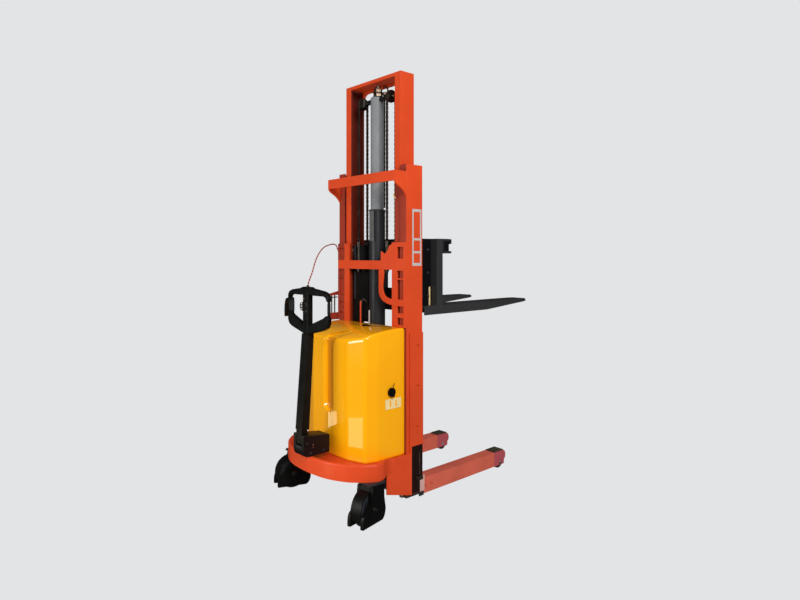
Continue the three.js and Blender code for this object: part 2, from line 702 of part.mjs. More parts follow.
// Lever hanging outside the operator's left grip
function brakeLever() {
  const { headY } = TILLER;
  const blade = new THREE.Shape();
  blade.moveTo(-190 - FIT, 1108);
  blade.lineTo(-190 - FIT, 1086);
  blade.quadraticCurveTo(-200, 1080, -201, 1060);
  blade.lineTo(-205, 1006);
  blade.lineTo(-212, 1004);
  blade.quadraticCurveTo(-218, 1060, -206, 1092);
  blade.quadraticCurveTo(-200, 1106, -190 - FIT, 1108);
  return prism('y', [headY - 12, headY + 12], blade);
}

function tillerCable() {
  const route = [
    [0, TILLER.headY, 1169], [-2, -93, 1182], [-12, -78, 1206], [-36, -44, 1246],
    [-75, 12, 1325], [-135, 97, 1380], [-210, 203, 1402], [-276, 284, 1402],
    [-305, 320, 1380], [-308, 338, 1330], [-308, 340, 1200], [-308, 340, 1092],
  ];
  return tube(route, 4, 76);
}

// Turn-knob of the battery switch on the right side of the hood
function batterySwitch() {
  const face = 284 + FIT;
  const dial = bar('x', [face, face + 12], [235, 620], 24, 24);
  const grip = box([face + 11, face + 24], [228, 242], [598, 642]);
  return join(dial, grip);
}

// Assembly

function buildMast() {
  placePair(truck, 'mast_channel', outerChannel(), orangePaint);
  place(truck, 'upper_crossbar', upperCrossbar(), orangePaint);
  place(truck, 'mast_face_plate', mastFacePlate(), orangePaint);
  place(truck, 'grab_handle', grabHandle(), orangePaint);
  place(truck, 'mast_base', mastBase(), orangePaint);
  placePair(truck, 'inner_channel', innerChannel(), orangePaint);
  place(truck, 'inner_top_beam', innerTopBeam(), orangePaint);
  place(truck, 'inner_tie_bar', innerTie(), orangePaint);
  placePair(truck, 'mast_roller', roller(MAST_ROLLER), darkSteel);
}

function buildLift() {
  place(truck, 'lift_cylinder', liftBarrel(), blackPaint);
  place(truck, 'piston_rod', pistonRod(), brightSteel);
  place(truck, 'sheave_crosshead', sheaveCrosshead(), castMetal);
  placePair(truck, 'chain_sheave', chainSheave(), darkSteel);
  placePair(truck, 'chain_rear', rearChain(), darkSteel);
  placePair(truck, 'chain_front', frontChain(), darkSteel);
  placePair(truck, 'chain_anchor', chainAnchor(), darkSteel);
}

function buildCarriage() {
  place(truck, 'carriage_back_plate', carriageBackPlate(), blackPaint);
  placePair(truck, 'carriage_side_plate', carriageSidePlate(), blackPaint);
  place(truck, 'carriage_top_beam', carriageTopBeam(), blackPaint);
  placePair(truck, 'fork', fork(), blackPaint);
  placePair(truck, 'carriage_roller', roller(CARRIAGE_ROLLER), darkSteel);
}

function buildChassis() {
  placePair(truck, 'side_plate', sidePlate(), orangePaint);
  place(truck, 'rear_skirt', rearSkirt(), orangePaint);
  place(truck, 'chassis_deck', chassisDeck(), orangePaint);
  placePair(truck, 'support_leg', supportLeg(), orangePaint);
  placePair(truck, 'load_axle', loadAxle(), brightSteel);
  placePair(truck, 'load_roller', loadRoller(), polyurethane);
}

function buildHood() {
  place(truck, 'hood', hood(), yellowPaint);
  place(truck, 'battery_switch', batterySwitch(), blackPlastic);
  place(truck, 'battery', battery(), batteryCase);
  place(truck, 'power_pack', powerPack(), castMetal);
  place(truck, 'motor_controller', motorController(), batteryCase);
  place(truck, 'hydraulic_hose', hydraulicHose(), rubberHose);
}

function buildCasters() {
  placePair(truck, 'caster_bearing', casterBearing(), blackPaint);
  for (const [side, sign] of [['right', 1], ['left', -1]]) {
    const swivel = new THREE.Group();
    swivel.position.set(sign * CASTER.x, CASTER.y, 0);
    swivel.rotation.z = sign * CASTER.toe;
    place(swivel, `caster_yoke_${side}`, casterYoke(), blackPlastic);
    place(swivel, `caster_wheel_${side}`, casterWheel(), polyurethane);
    truck.add(swivel);
  }
}

function buildTiller() {
  place(truck, 'tiller_bracket', tillerBracket(), blackPaint);
  place(truck, 'tiller_arm', tillerArm(), blackPlastic);
  place(truck, 'tiller_head', tillerHead(), blackPlastic);
  place(truck, 'brake_lever', brakeLever(), blackPlastic);
  for (const [name, z] of Object.entries(BUTTON.spots)) {
    place(truck, `${name}_button`, headButton(z), blackPlastic);
  }
  place(truck, 'tiller_cable', tillerCable(), copperCable);
}

buildMast();
buildLift();
buildCarriage();
buildChassis();
buildHood();
buildCasters();
buildTiller();

const stacker = new THREE.Group();
stacker.add(truck);

export default stacker;
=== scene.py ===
"""Looks of a semi-electric walkie stacker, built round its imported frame.

Places are (x, y, z) in millimetres, with y = 0 on the line between the chassis' rear corners; spot() turns
them into metres in the frame. Materials use metres. The order is camera and lights, materials, the CAD nodes
that stay, mesh tools, then one section for each group of pieces.
"""

import math

import bmesh
import bpy
from mathutils import Matrix, Vector


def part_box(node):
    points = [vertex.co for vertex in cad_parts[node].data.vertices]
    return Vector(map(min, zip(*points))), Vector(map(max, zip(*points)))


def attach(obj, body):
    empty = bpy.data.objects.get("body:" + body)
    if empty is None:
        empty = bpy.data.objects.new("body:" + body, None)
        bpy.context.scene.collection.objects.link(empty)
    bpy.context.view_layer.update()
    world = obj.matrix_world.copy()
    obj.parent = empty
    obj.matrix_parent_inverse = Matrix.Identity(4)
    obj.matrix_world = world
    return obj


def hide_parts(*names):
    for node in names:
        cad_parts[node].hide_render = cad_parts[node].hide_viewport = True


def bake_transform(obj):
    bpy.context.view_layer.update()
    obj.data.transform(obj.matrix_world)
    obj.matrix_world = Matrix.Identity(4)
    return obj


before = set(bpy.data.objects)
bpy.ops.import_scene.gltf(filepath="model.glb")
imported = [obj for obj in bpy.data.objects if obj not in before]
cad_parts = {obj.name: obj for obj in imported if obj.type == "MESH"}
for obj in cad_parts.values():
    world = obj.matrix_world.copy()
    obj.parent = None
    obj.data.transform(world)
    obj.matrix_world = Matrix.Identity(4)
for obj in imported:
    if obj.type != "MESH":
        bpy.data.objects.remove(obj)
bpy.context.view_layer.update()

MM = 0.001
REAR_CORNERS_Y = -646.5  # where the line between the rear corners lies in the frame
SIDE_PLATE_FACE = 308.1  # outer faces of the right-hand parts, from the middle, with room for a fastener
MAST_FACE = 300.1
HOOD_FACE = 284.4
LEG_FACE = 283.2
CARRIAGE_FACE = 252.1
BRACKET_FACE = 48.1
CYLINDER_Y = 380
HOOD_TOP = 950
SHEAVE = {"x": 126, "y": 377, "z": 2232, "radius": 32}
CHAIN_ANCHOR_Z = 1420
CHAIN_LUG_Z = 1418
LINK_PITCH = 12.7
SIDES = (1, -1)
SIDE_NAMES = {1: "right", -1: "left"}


def spot(x, y, z):
    return Vector((x, y + REAR_CORNERS_Y, z)) * MM


# Camera, light and floor

CAMERA_AT = (2.634, -2.4855, 1.341)
CAMERA_TURN = math.radians(47.7)
LENS = 26.82
HORIZON_SHIFT = -0.05625
BACKDROP = (0.766, 0.775, 0.79)
AMBIENT = (0.45, 0.45, 0.46)
REFLECTED = (0.04, 0.04, 0.045)
PALE_YELLOW = (1.0, 0.88, 0.5)
FLOOR_HALF = 60


def add_camera():
    data = bpy.data.cameras.new("camera")
    data.sensor_width = 36
    data.lens = LENS
    data.shift_y = HORIZON_SHIFT
    camera = bpy.data.objects.new("camera", data)
    camera.location = CAMERA_AT
    camera.rotation_euler = (math.pi / 2, 0, CAMERA_TURN)
    bpy.context.scene.collection.objects.link(camera)
    bpy.context.scene.camera = camera


def add_area_light(name, place, target, size, power, tint=(1, 1, 1)):
    data = bpy.data.lights.new(name, "AREA")
    data.shape = "RECTANGLE"
    data.size, data.size_y = size
    data.energy = power
    data.color = tint
    light = bpy.data.objects.new(name, data)
    light.location = place
    light.rotation_euler = (Vector(target) - Vector(place)).to_track_quat("-Z", "Y").to_euler()
    light.visible_camera = False
    bpy.context.scene.collection.objects.link(light)


def add_world():
    """One grey for the camera, a darker one for mirrored rays and an even one for the rest."""
    world = bpy.data.worlds.new("studio")
    world.use_nodes = True
    tree = world.node_tree
    ray = tree.nodes.new("ShaderNodeLightPath")
    shown = tree.nodes["Background"]
    shown.inputs["Color"].default_value = (*AMBIENT, 1)
    for kind, color in (("Is Glossy Ray", REFLECTED), ("Is Camera Ray", BACKDROP)):
        seen = tree.nodes.new("ShaderNodeBackground")
        seen.inputs["Color"].default_value = (*color, 1)
        choice = tree.nodes.new("ShaderNodeMixShader")
        tree.links.new(ray.outputs[kind], choice.inputs[0])
        tree.links.new(shown.outputs[0], choice.inputs[1])
        tree.links.new(seen.outputs[0], choice.inputs[2])
        shown = choice
    tree.links.new(shown.outputs[0], tree.nodes["World Output"].inputs["Surface"])
    bpy.context.scene.world = world
    bpy.context.scene.view_settings.view_transform = "Standard"


def add_floor():
    """A floor that shows the backdrop's own grey, so that no horizon is seen."""
    half = FLOOR_HALF
    mesh = bpy.data.meshes.new("floor")
    corners = [(-half, -half, 0), (half, -half, 0), (half, half, 0), (-half, half, 0)]
    mesh.from_pydata(corners, [], [(0, 1, 2, 3)])
    floor = bpy.data.objects.new("floor", mesh)
    paint = Recipe("floor", (0, 0, 0), 0.5, Specular_IOR_Level=0.0, Emission_Color=BACKDROP,
                   Emission_Strength=1.0)
    mesh.materials.append(paint.material)
    floor.visible_diffuse = False
    floor.visible_glossy = False
    floor.visible_shadow = False
    bpy.context.scene.collection.objects.link(floor)


# Materials, each from its own small node tree


FACING_AT_LEAST = 0.7  # cosine between a face and the axis that it counts as facing


class Recipe:
    """A material under construction: a Principled shader and helpers that add nodes to its tree."""

    def __init__(self, name, color, roughness, metallic=0.0, **sockets):
        self.material = bpy.data.materials.new(name)
        self.material.use_nodes = True
        self.tree = self.material.node_tree
        self.shader = self.tree.nodes["Principled BSDF"]
        sockets.update(Base_Color=color, Roughness=roughness, Metallic=metallic)
        for socket, value in sockets.items():
            self.feed(self.shader.inputs[socket.replace("_", " ")], value)
        self.coordinates = self.add("ShaderNodeTexCoord").outputs["Object"]

    def feed(self, socket, value):
        """Gives a socket a number, a colour or another node's output."""
        if isinstance(value, bpy.types.NodeSocket):
            self.tree.links.new(value, socket)
        else:
            socket.default_value = (*value, 1) if socket.type == "RGBA" else value

    def add(self, kind, inputs=None, **settings):
        node = self.tree.nodes.new(kind)
        for key, value in settings.items():
            setattr(node, key, value)
        for key, value in (inputs or {}).items():
            self.feed(node.inputs[key], value)
        return node

    def noise(self, scale, detail=4.0, stretch=(1, 1, 1)):
        place = self.add("ShaderNodeMapping", {"Scale": stretch, "Vector": self.coordinates})
        inputs = {"Scale": scale, "Detail": detail, "Vector": place.outputs["Vector"]}
        return self.add("ShaderNodeTexNoise", inputs).outputs["Fac"]

    def ramp(self, factor, *stops):
        """Maps a factor to colours or greys; each stop is (position, grey or colour)."""
        node = self.add("ShaderNodeValToRGB", {"Fac": factor})
        elements = node.color_ramp.elements
        while len(elements) < len(stops):
            elements.new(0.5)
        for element, (position, value) in zip(elements, stops):
            element.position = position
            shade = (value, value, value) if isinstance(value, (int, float)) else value
            element.color = (*shade, 1)
        return node.outputs["Color"]

    def mix(self, factor, first, second, blend="MIX"):
        """Mixes two colours; either may be a fixed colour or another node's output."""
        inputs = {0: factor, 6: first, 7: second}
        return self.add("ShaderNodeMix", inputs, data_type="RGBA", blend_type=blend).outputs[2]

    def worn_edges(self, radius):
        """White on convex and concave edges, broken up by noise."""
        rounded = self.add("ShaderNodeBevel", {"Radius": radius}, samples=4)
        surface = self.add("ShaderNodeNewGeometry")
        normals = {0: rounded.outputs["Normal"], 1: surface.outputs["Normal"]}
        turn = self.add("ShaderNodeVectorMath", normals, operation="DOT_PRODUCT")
        edge = self.ramp(turn.outputs["Value"], (0.8, 1.0), (0.985, 0.0))
        return self.both(edge, self.ramp(self.noise(38, 6), (0.5, 0.0), (0.95, 1.0)))

    def part(self, vector, axis):
        return self.add("ShaderNodeSeparateXYZ", {"Vector": vector}).outputs[axis]

    def math(self, operation, *values):
        """One sum on node outputs and fixed numbers."""
        return self.add("ShaderNodeMath", dict(enumerate(values)), operation=operation).outputs[0]

    def both(self, first, second):
        return self.math("MULTIPLY", first, second)

    def height_mask(self, low, high):
        """White at the height low, black at the height high, in metres."""
        inputs = {"Value": self.part(self.coordinates, "Z"), "From Min": low, "From Max": high,
                  "To Min": 1.0, "To Max": 0.0}
        return self.add("ShaderNodeMapRange", inputs).outputs["Result"]

    def within(self, vector, axis, low, high):
        """White where the size of one coordinate of a vector lies between two values."""
        size = self.math("ABSOLUTE", self.part(vector, axis))
        return self.both(self.math("GREATER_THAN", size, low), self.math("LESS_THAN", size, high))

    def on_right(self):
        """White on the operator's right of the middle."""
        return self.math("GREATER_THAN", self.part(self.coordinates, "X"), 0.0)

    def facing(self, axis):
        """White where the surface faces either way along an axis."""
        surface = self.add("ShaderNodeNewGeometry")
        return self.within(surface.outputs["Normal"], axis, FACING_AT_LEAST, 1.1)

    def color(self, output):
        self.feed(self.shader.inputs["Base Color"], output)

    def roughness(self, noise, low, high, full=0.8):
        """Roughness low where the noise is under 0.3, rising to high where it reaches full."""
        self.feed(self.shader.inputs["Roughness"], self.ramp(noise, (0.3, low), (full, high)))

    def bump(self, height, distance):
        """Adds relief of the given depth in metres to any that is there already."""
        inputs = {"Distance": distance, "Height": height}
        normal = self.shader.inputs["Normal"]
        if normal.links:
            inputs["Normal"] = normal.links[0].from_socket
        self.feed(normal, self.add("ShaderNodeBump", inputs).outputs["Normal"])


def shade(color, factor):
    return tuple(channel * factor for channel in color)


ORANGE_PEEL = 0.00006
CHIPPED_EDGE = 0.0016
DUST_TOP = 0.35


def painted_metal(name, color, roughness, chip, spread=0.12, shade_and_fade=None):
    """Sprayed enamel: orange-peel surface, slow tone drift, scuffs, and chips on the edges.

    The optional last argument, a function of (recipe, colour), may lay painted shade (mast channels, ladder)
    or a faded tip (leg) over the paint.
    """
    recipe = Recipe(name, color, roughness, Specular_IOR_Level=0.22, Coat_Weight=0.05, Coat_Roughness=0.2)
    drift = recipe.ramp(recipe.noise(3.2, 5), (0.3, 0.0), (0.75, 1.0))
    tone = recipe.mix(drift, shade(color, 1 - spread), shade(color, 1 + spread * 0.6))
    dust = recipe.mix(recipe.height_mask(0.0, DUST_TOP), (0, 0, 0), (0.35, 0.35, 0.35))
    dirt_and_shade = recipe.ramp(recipe.noise(21, 8), (0.45, 0.0), (0.8, 0.6))
    grime = recipe.mix(recipe.mix(1.0, dust, dirt_and_shade, "MULTIPLY"), tone, shade(color, 0.55))
    coated = shade_and_fade(recipe, grime) if shade_and_fade else grime
    recipe.color(recipe.mix(recipe.worn_edges(CHIPPED_EDGE), coated, chip))
    recipe.roughness(recipe.noise(14, 7), roughness - 0.08, roughness + 0.14, 0.75)
    recipe.bump(recipe.noise(620, 2), ORANGE_PEEL)
    recipe.bump(recipe.noise(46, 3), ORANGE_PEEL * 2)
    return recipe.material


# The next colour is painted shade: the dark maroon laid on the mast channels' shaded webs and rear flanges.
CHANNEL_SHADE = (0.075, 0.009, 0.006)
DULL_RED = (0.3, 0.034, 0.016)
OUTER_RUNWAY = 0.2915  # half the distance between the channels' webs
INNER_RUNWAY = 0.2355
FLANGE_BACK = (0.2065, 0.2505)  # how far behind the frame's middle the rear flanges lie
CROSSBAR_Z = 1.735
MIDDLE_BAR_Z = (1.26, 1.31)
LADDER_X = (0.237, 0.31)
LEG_TIP_Y = (0.4465, 0.7)
FADED_CRIMSON = (0.42, 0.07, 0.085)
GROOVE_X = (0.0, 0.036)
GROOVE_Z = (0.505, 0.915)
GROOVE_SHADE = (0.8, 0.27, 0.001)


def shaded_runway(limit, dull_rear):
    """Painted shade, broken up by noise: dark maroon on the webs between the runways and on the rear
    flanges, and dull red on faces that face front or back. The fixed mast gets the dull red on all such
    faces. The moving mast gets it only below its top crossbar, on its right-hand side.
    """
    def lay(recipe, paint):
        shade_breakup = recipe.ramp(recipe.noise(4, 6, (6, 6, 0.6)), (0.3, 0.82), (0.7, 1.0))
        web = recipe.both(recipe.facing("X"), recipe.within(recipe.coordinates, "X", 0.0, limit))
        flange = recipe.both(recipe.facing("Y"), recipe.within(recipe.coordinates, "Y", *FLANGE_BACK))
        dirt_and_shade = shade_breakup if dull_rear else recipe.both(shade_breakup, recipe.height_mask(CROSSBAR_Z, CROSSBAR_Z + 0.01))
        if not dull_rear:
            dirt_and_shade = recipe.both(dirt_and_shade, recipe.on_right())
        paint = recipe.mix(recipe.both(recipe.facing("Y"), dirt_and_shade), paint, DULL_RED)
        paint = recipe.mix(recipe.both(flange, shade_breakup), paint, CHANNEL_SHADE)
        return recipe.mix(recipe.both(web, shade_breakup), paint, CHANNEL_SHADE)
    return lay


def faded_tip(recipe, paint):
    """The leg's last stretch was painted separately and has faded towards crimson."""
    return recipe.mix(recipe.within(recipe.coordinates, "Y", *LEG_TIP_Y), paint, FADED_CRIMSON)


def shaded_left_ladder(recipe, paint):
    """Painted shade: the face plate's left ladder is darkened to the same dull red as the upright it sits
    on, except across the middle bar.
    """
    edge = recipe.within(recipe.coordinates, "X", *LADDER_X)
    bar = recipe.within(recipe.coordinates, "Z", *MIDDLE_BAR_Z)
    left_shade = recipe.mix(recipe.on_right(), DULL_RED, paint)
    return recipe.mix(bar, recipe.mix(edge, paint, left_shade), paint)


def hood_plastic(name):
    """Glossy moulded cover with fine swirls in its gloss and painted shade on the floor of its groove."""
    color = (1.0, 0.43, 0.004)
    recipe = Recipe(name, color, 0.2, Specular_IOR_Level=0.1, Coat_Weight=1.0, Coat_Roughness=0.02,
                    Coat_IOR=1.6)
    drift = recipe.ramp(recipe.noise(2.4, 3), (0.3, 0.0), (0.75, 1.0))
    clean = recipe.mix(drift, (0.96, 0.39, 0.002), (1.0, 0.45, 0.003))
    groove = recipe.both(recipe.within(recipe.coordinates, "X", *GROOVE_X),
                         recipe.within(recipe.coordinates, "Z", *GROOVE_Z))
    recipe.color(recipe.mix(recipe.both(groove, recipe.facing("Y")), clean, GROOVE_SHADE))
    recipe.roughness(recipe.noise(55, 6, (1, 1, 0.15)), 0.16, 0.34)
    recipe.bump(recipe.noise(420, 2), 0.00001)
    return recipe.material


def moulded_plastic(name, color, roughness, grain=900):
    """Fine leather-like mould grain with handled, shinier patches."""
    recipe = Recipe(name, color, roughness, Specular_IOR_Level=0.2)
    patches = recipe.ramp(recipe.noise(9, 5), (0.35, 0.0), (0.75, 1.0))
    recipe.color(recipe.mix(patches, shade(color, 0.8), shade(color, 1.5)))
    recipe.roughness(recipe.noise(17, 6), roughness - 0.12, roughness + 0.12)
    cells = recipe.add("ShaderNodeTexVoronoi", {"Scale": grain, "Vector": recipe.coordinates})
    recipe.bump(cells.outputs["Distance"], 0.00008)
    return recipe.material


def drawn_steel(name, color, roughness, streak=(60, 60, 1.5), stain=0.45, amount=0.6, metallic=1.0):
    """Ground or drawn steel with streaks along its length and a film of oil."""
    recipe = Recipe(name, color, roughness, metallic, Specular_IOR_Level=0.3)
    lines = recipe.noise(30, 4, streak)
    film = recipe.ramp(recipe.noise(13, 8), (0.42, 0.0), (0.8, amount))
    bright = recipe.mix(recipe.ramp(lines, (0.3, 0.0), (0.7, 1.0)), shade(color, 0.75), shade(color, 1.15))
    recipe.color(recipe.mix(film, bright, shade(color, stain)))
    recipe.roughness(recipe.noise(24, 6), roughness - 0.1, roughness + 0.15, 0.75)
    recipe.bump(lines, 0.00004)
    return recipe.material


def cast_surface(name):
    """Sand-cast and painted grey, rough at the scale of the sand."""
    color = (0.17, 0.165, 0.16)
    recipe = Recipe(name, color, 0.5, metallic=0.6)
    recipe.color(recipe.mix(recipe.noise(12, 7), shade(color, 0.5), shade(color, 1.5)))
    recipe.roughness(recipe.noise(90, 4), 0.38, 0.7)
    recipe.bump(recipe.noise(260, 6), 0.0006)
    return recipe.material


def tread_rubber(name, color, roughness):
    """Cast tyre: matt, dusty where it rolls, with fine pits."""
    recipe = Recipe(name, color, roughness)
    dust = recipe.ramp(recipe.noise(26, 8), (0.5, 0.0), (0.85, 0.5))
    recipe.color(recipe.mix(dust, color, (0.09, 0.085, 0.08)))
    recipe.roughness(recipe.noise(60, 5), roughness - 0.1, roughness + 0.2)
    recipe.bump(recipe.noise(700, 4), 0.0002)
    return recipe.material


def ribbed_rubber(name, color, rib):
    """Hose or cable cover with a fine cross-wound rib."""
    recipe = Recipe(name, color, 0.5)
    inputs = {"Scale": rib, "Distortion": 1.2, "Vector": recipe.coordinates}
    wave = recipe.add("ShaderNodeTexWave", inputs, wave_type="BANDS", bands_direction="DIAGONAL")
    recipe.color(recipe.mix(wave.outputs["Fac"], shade(color, 0.6), shade(color, 1.35)))
    recipe.bump(wave.outputs["Fac"], 0.0003)
    return recipe.material


def plate_film(name, color):
    """Plain film or cap, a little yellowed and scuffed, with nothing on it."""
    recipe = Recipe(name, color, 0.35)
    recipe.color(recipe.mix(recipe.noise(30, 6), shade(color, 0.82), shade(color, 1.15)))
    recipe.bump(recipe.noise(400, 3), 0.00004)
    return recipe.material


def make_materials():
    orange = (0.68, 0.063, 0.011)
    scuff = (0.8, 0.14, 0.05)
    block_streak = (9, 9, 9)
    made = [
        painted_metal("orange", orange, 0.42, scuff),
        painted_metal("outer_mast", orange, 0.42, scuff, shade_and_fade=shaded_runway(OUTER_RUNWAY, True)),
        painted_metal("inner_mast", orange, 0.42, scuff, shade_and_fade=shaded_runway(INNER_RUNWAY, False)),
        painted_metal("ladder", orange, 0.42, scuff, shade_and_fade=shaded_left_ladder),
        painted_metal("dull_red", DULL_RED, 0.5, shade(orange, 0.8)),
        painted_metal("leg", (0.64, 0.118, 0.07), 0.5, (0.45, 0.2, 0.15), spread=0.2, shade_and_fade=faded_tip),
        painted_metal("black", (0.024, 0.025, 0.027), 0.38, (0.12, 0.12, 0.12)),
        # The next black is the black enamel made darker, as painted shade on the carriage's side plates, the
        # tiller bracket and the beam ends.
        painted_metal("shaded_black", (0.004, 0.004, 0.005), 0.45, (0.05, 0.05, 0.05)),
        painted_metal("fork", (0.033, 0.033, 0.034), 0.42, (0.14, 0.14, 0.14)),
        # The next colour is a dark brown for the painted shade inside the legs' cut-outs.
        painted_metal("cutout_shade", (0.016, 0.005, 0.004), 0.5, (0.08, 0.03, 0.02)),
        hood_plastic("hood"),
        moulded_plastic("plastic", (0.0035, 0.0035, 0.003), 0.5),
        moulded_plastic("case", (0.028, 0.031, 0.036), 0.55, 500),
        moulded_plastic("pad", (0.055, 0.045, 0.022), 0.6),
        moulded_plastic("grip", (0.012, 0.012, 0.013), 0.7, 1600),
        drawn_steel("rod", (0.22, 0.23, 0.235), 0.55, stain=0.7, metallic=0.0),
        drawn_steel("zinc", (0.55, 0.54, 0.5), 0.35, block_streak),
        drawn_steel("brass", (0.3, 0.22, 0.155), 0.45, block_streak, stain=0.3, amount=0.9),
        drawn_steel("oiled", (0.1, 0.088, 0.075), 0.42, block_streak),
        drawn_steel("chain", (0.2, 0.13, 0.1), 0.42, block_streak),
        cast_surface("cast"),
        tread_rubber("tyre", (0.01, 0.009, 0.009), 0.55),
        ribbed_rubber("hose", (0.03, 0.013, 0.009), 220),
        ribbed_rubber("cable", (0.36, 0.045, 0.014), 160),
        plate_film("film", (0.5, 0.46, 0.44)),
        plate_film("label", (0.86, 0.66, 0.3)),
        plate_film("pale_cap", (0.62, 0.36, 0.31)),
    ]
    return {material.name: material for material in made}


MATERIALS = make_materials()


# The CAD nodes that stay: their finish and their softened edges

CAD_FINISH = {
    "orange": ["upper_crossbar", "grab_handle", "inner_tie_bar", "side_plate_*", "chassis_deck"],
    "outer_mast": ["mast_channel_*"],
    "inner_mast": ["inner_channel_*"],
    "ladder": ["mast_face_plate"],
    "leg": ["support_leg_*"],
    # mast_base is painted black as painted shade, so that its foot below the side plates reads as shadow.
    "black": ["lift_cylinder", "carriage_back_plate", "carriage_top_beam", "caster_bearing_*", "mast_base"],
    # These parts take the darker black, as painted shade.
    "shaded_black": ["carriage_side_plate_*", "tiller_bracket"],
    "fork": ["fork_*"],
    "plastic": ["tiller_arm", "brake_lever", "lift_button", "lower_button", "battery_switch",
                "caster_yoke_*", "motor_controller"],
    "case": ["battery"],
    "rod": ["load_axle_*"],
    "oiled": ["mast_roller_*", "carriage_roller_*", "chain_sheave_*", "chain_anchor_*"],
    "cast": ["power_pack"],
    "tyre": ["load_roller_*", "caster_wheel_*"],
}
EDGE_RADII = {
    1.2: ["mast_face_plate"],
    1.5: ["carriage_back_plate", "carriage_side_plate_*", "battery_switch", "side_plate_*"],
    2.0: ["support_leg_*", "upper_crossbar", "brake_lever"],
    2.5: ["mast_channel_*", "carriage_top_beam", "grab_handle"],
    3.0: ["fork_*", "tiller_bracket", "inner_channel_*", "power_pack"],
    4.0: ["caster_yoke_*", "battery", "motor_controller"],
    6.0: ["tiller_arm"],
}
DEFAULT_EDGE = 1.0
SHARP_EDGE = math.radians(38)  # flatter edges than this are shaded smooth
BEVELLED_EDGE = math.radians(35)
SAME_PLANE = math.radians(0.6)
SAME_SPOT = 0.00002


def by_name(groups):
    """Turns {value: [names]} round into {name: value}; a star stands for right and left."""
    return {name.replace("*", side): value for value, names in groups.items()
            for name in names for side in SIDE_NAMES.values()}


def soften(obj, radius, segments=3):
    """Rounds the hard edges and evens the shading of the flats."""
    weld = obj.modifiers.new("weld", "WELD")
    weld.merge_threshold = SAME_SPOT
    flats = obj.modifiers.new("flats", "DECIMATE")
    flats.decimate_type = "DISSOLVE"
    flats.angle_limit = SAME_PLANE
    edge = obj.modifiers.new("edge", "BEVEL")
    edge.width = radius * MM
    edge.segments = segments
    edge.limit_method = "ANGLE"
    edge.angle_limit = BEVELLED_EDGE
    normals = obj.modifiers.new("normals", "WEIGHTED_NORMAL")
    normals.keep_sharp = True


def dress_cad_nodes():
    radii = by_name(EDGE_RADII)
    for node, finish in by_name(CAD_FINISH).items():
        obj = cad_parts[node]
        obj.data.materials.clear()
        obj.data.materials.append(MATERIALS[finish])
        obj.data.polygons.foreach_set("use_smooth", [True] * len(obj.data.polygons))
        soften(obj, radii.get(node, DEFAULT_EDGE))


# Mesh building


def loft(rings, capped=True, closed=True):
    """Joins rings of points into a skin; closed rings wrap round, and capped ends are filled."""
    count = len(rings[0])
    vertices = [point for ring in rings for point in ring]
    faces = []
    for row in range(len(rings) - 1):
        for index in range(count if closed else count - 1):
            here = row * count + index
            beside = row * count + (index + 1) % count
            faces.append((here, beside, beside + count, here + count))
    if capped:
        last = (len(rings) - 1) * count
        faces.append(tuple(reversed(range(count))))
        faces.append(tuple(range(last, last + count)))
    return vertices, faces


def across(direction):
    """Two unit vectors square to a direction and to each other."""
    along = Vector(direction).normalized()
    side = along.cross((0, 0, 1)) if abs(along.z) < 0.9 else along.cross((0, 1, 0))
    side.normalize()
    return side, along.cross(side)


def circle(centre, radius, direction, sides=24):
    side, up = across(direction)
    return [Vector(centre) + side * a + up * b for a, b in disc_section(radius, sides)]


def turned(centre, direction, profile, sides=24):
    """A lathe shape; the profile lists (radius, distance along the direction)."""
    along = Vector(direction).normalized()
    rings = [circle(Vector(centre) + along * offset, radius, direction, sides) for radius, offset in profile]
    return loft(rings)


def slab(low, high):
    """A rectangular block between two corners."""
    (x0, y0, z0), (x1, y1, z1) = low, high
    base = [Vector((x, y, z0)) for x, y in ((x0, y0), (x1, y0), (x1, y1), (x0, y1))]
    return loft([base, [point + Vector((0, 0, z1 - z0)) for point in base]])


def side_slab(side, x_range, y_range, z_range):
    """A block on one side of the truck; x_range is measured outwards from the middle."""
    inner, outer = sorted(side * x for x in x_range)
    return slab((inner, y_range[0], z_range[0]), (outer, y_range[1], z_range[1]))


def sheet_metal(outline, axis, start, end):
    """A flat plate: an outline in z and the other level coordinate, between two values along x or y."""
    rings = []
    for depth in (start, end):
        rings.append([Vector((depth, a, z) if axis == "x" else (a, depth, z)) for a, z in outline])
    return loft(rings)


CURVE_STEPS = 24  # between two given points
HALF_TURN = [math.pi * (step / 6 - 0.5) for step in range(7)]


def bezier(start, control, end, t):
    return start * (1 - t) ** 2 + control * (2 * t * (1 - t)) + end * t * t


def mirrored(half):
    """A whole outline from its right half, which ends on the middle."""
    right = [Vector((x, y, 0)) for x, y in half]
    return right + [Vector((-point.x, point.y, 0)) for point in reversed(right[:-1])]


def inward_at(plan, index):
    """The direction into an outline that runs from right to left round the rear."""
    run = plan[min(index + 1, len(plan) - 1)] - plan[max(index - 1, 0)]
    return Vector((run.y, -run.x, 0)).normalized()


def smooth_path(points, spacing):
    """Points at even steps on a Catmull-Rom curve through the given ones."""
    ends = [2 * Vector(points[0]) - Vector(points[1]), 2 * Vector(points[-1]) - Vector(points[-2])]
    knots = [ends[0]] + [Vector(point) for point in points] + [ends[1]]
    fine = []
    for a, b, c, d in zip(knots, knots[1:], knots[2:], knots[3:]):
        for step in range(CURVE_STEPS):
            t = step / CURVE_STEPS
            fine.append(0.5 * (2 * b + (c - a) * t + (2 * a - 5 * b + 4 * c - d) * t * t
                               + (3 * b - a - 3 * c + d) * t ** 3))
    fine.append(knots[-2])
    return resampled(fine, spacing)


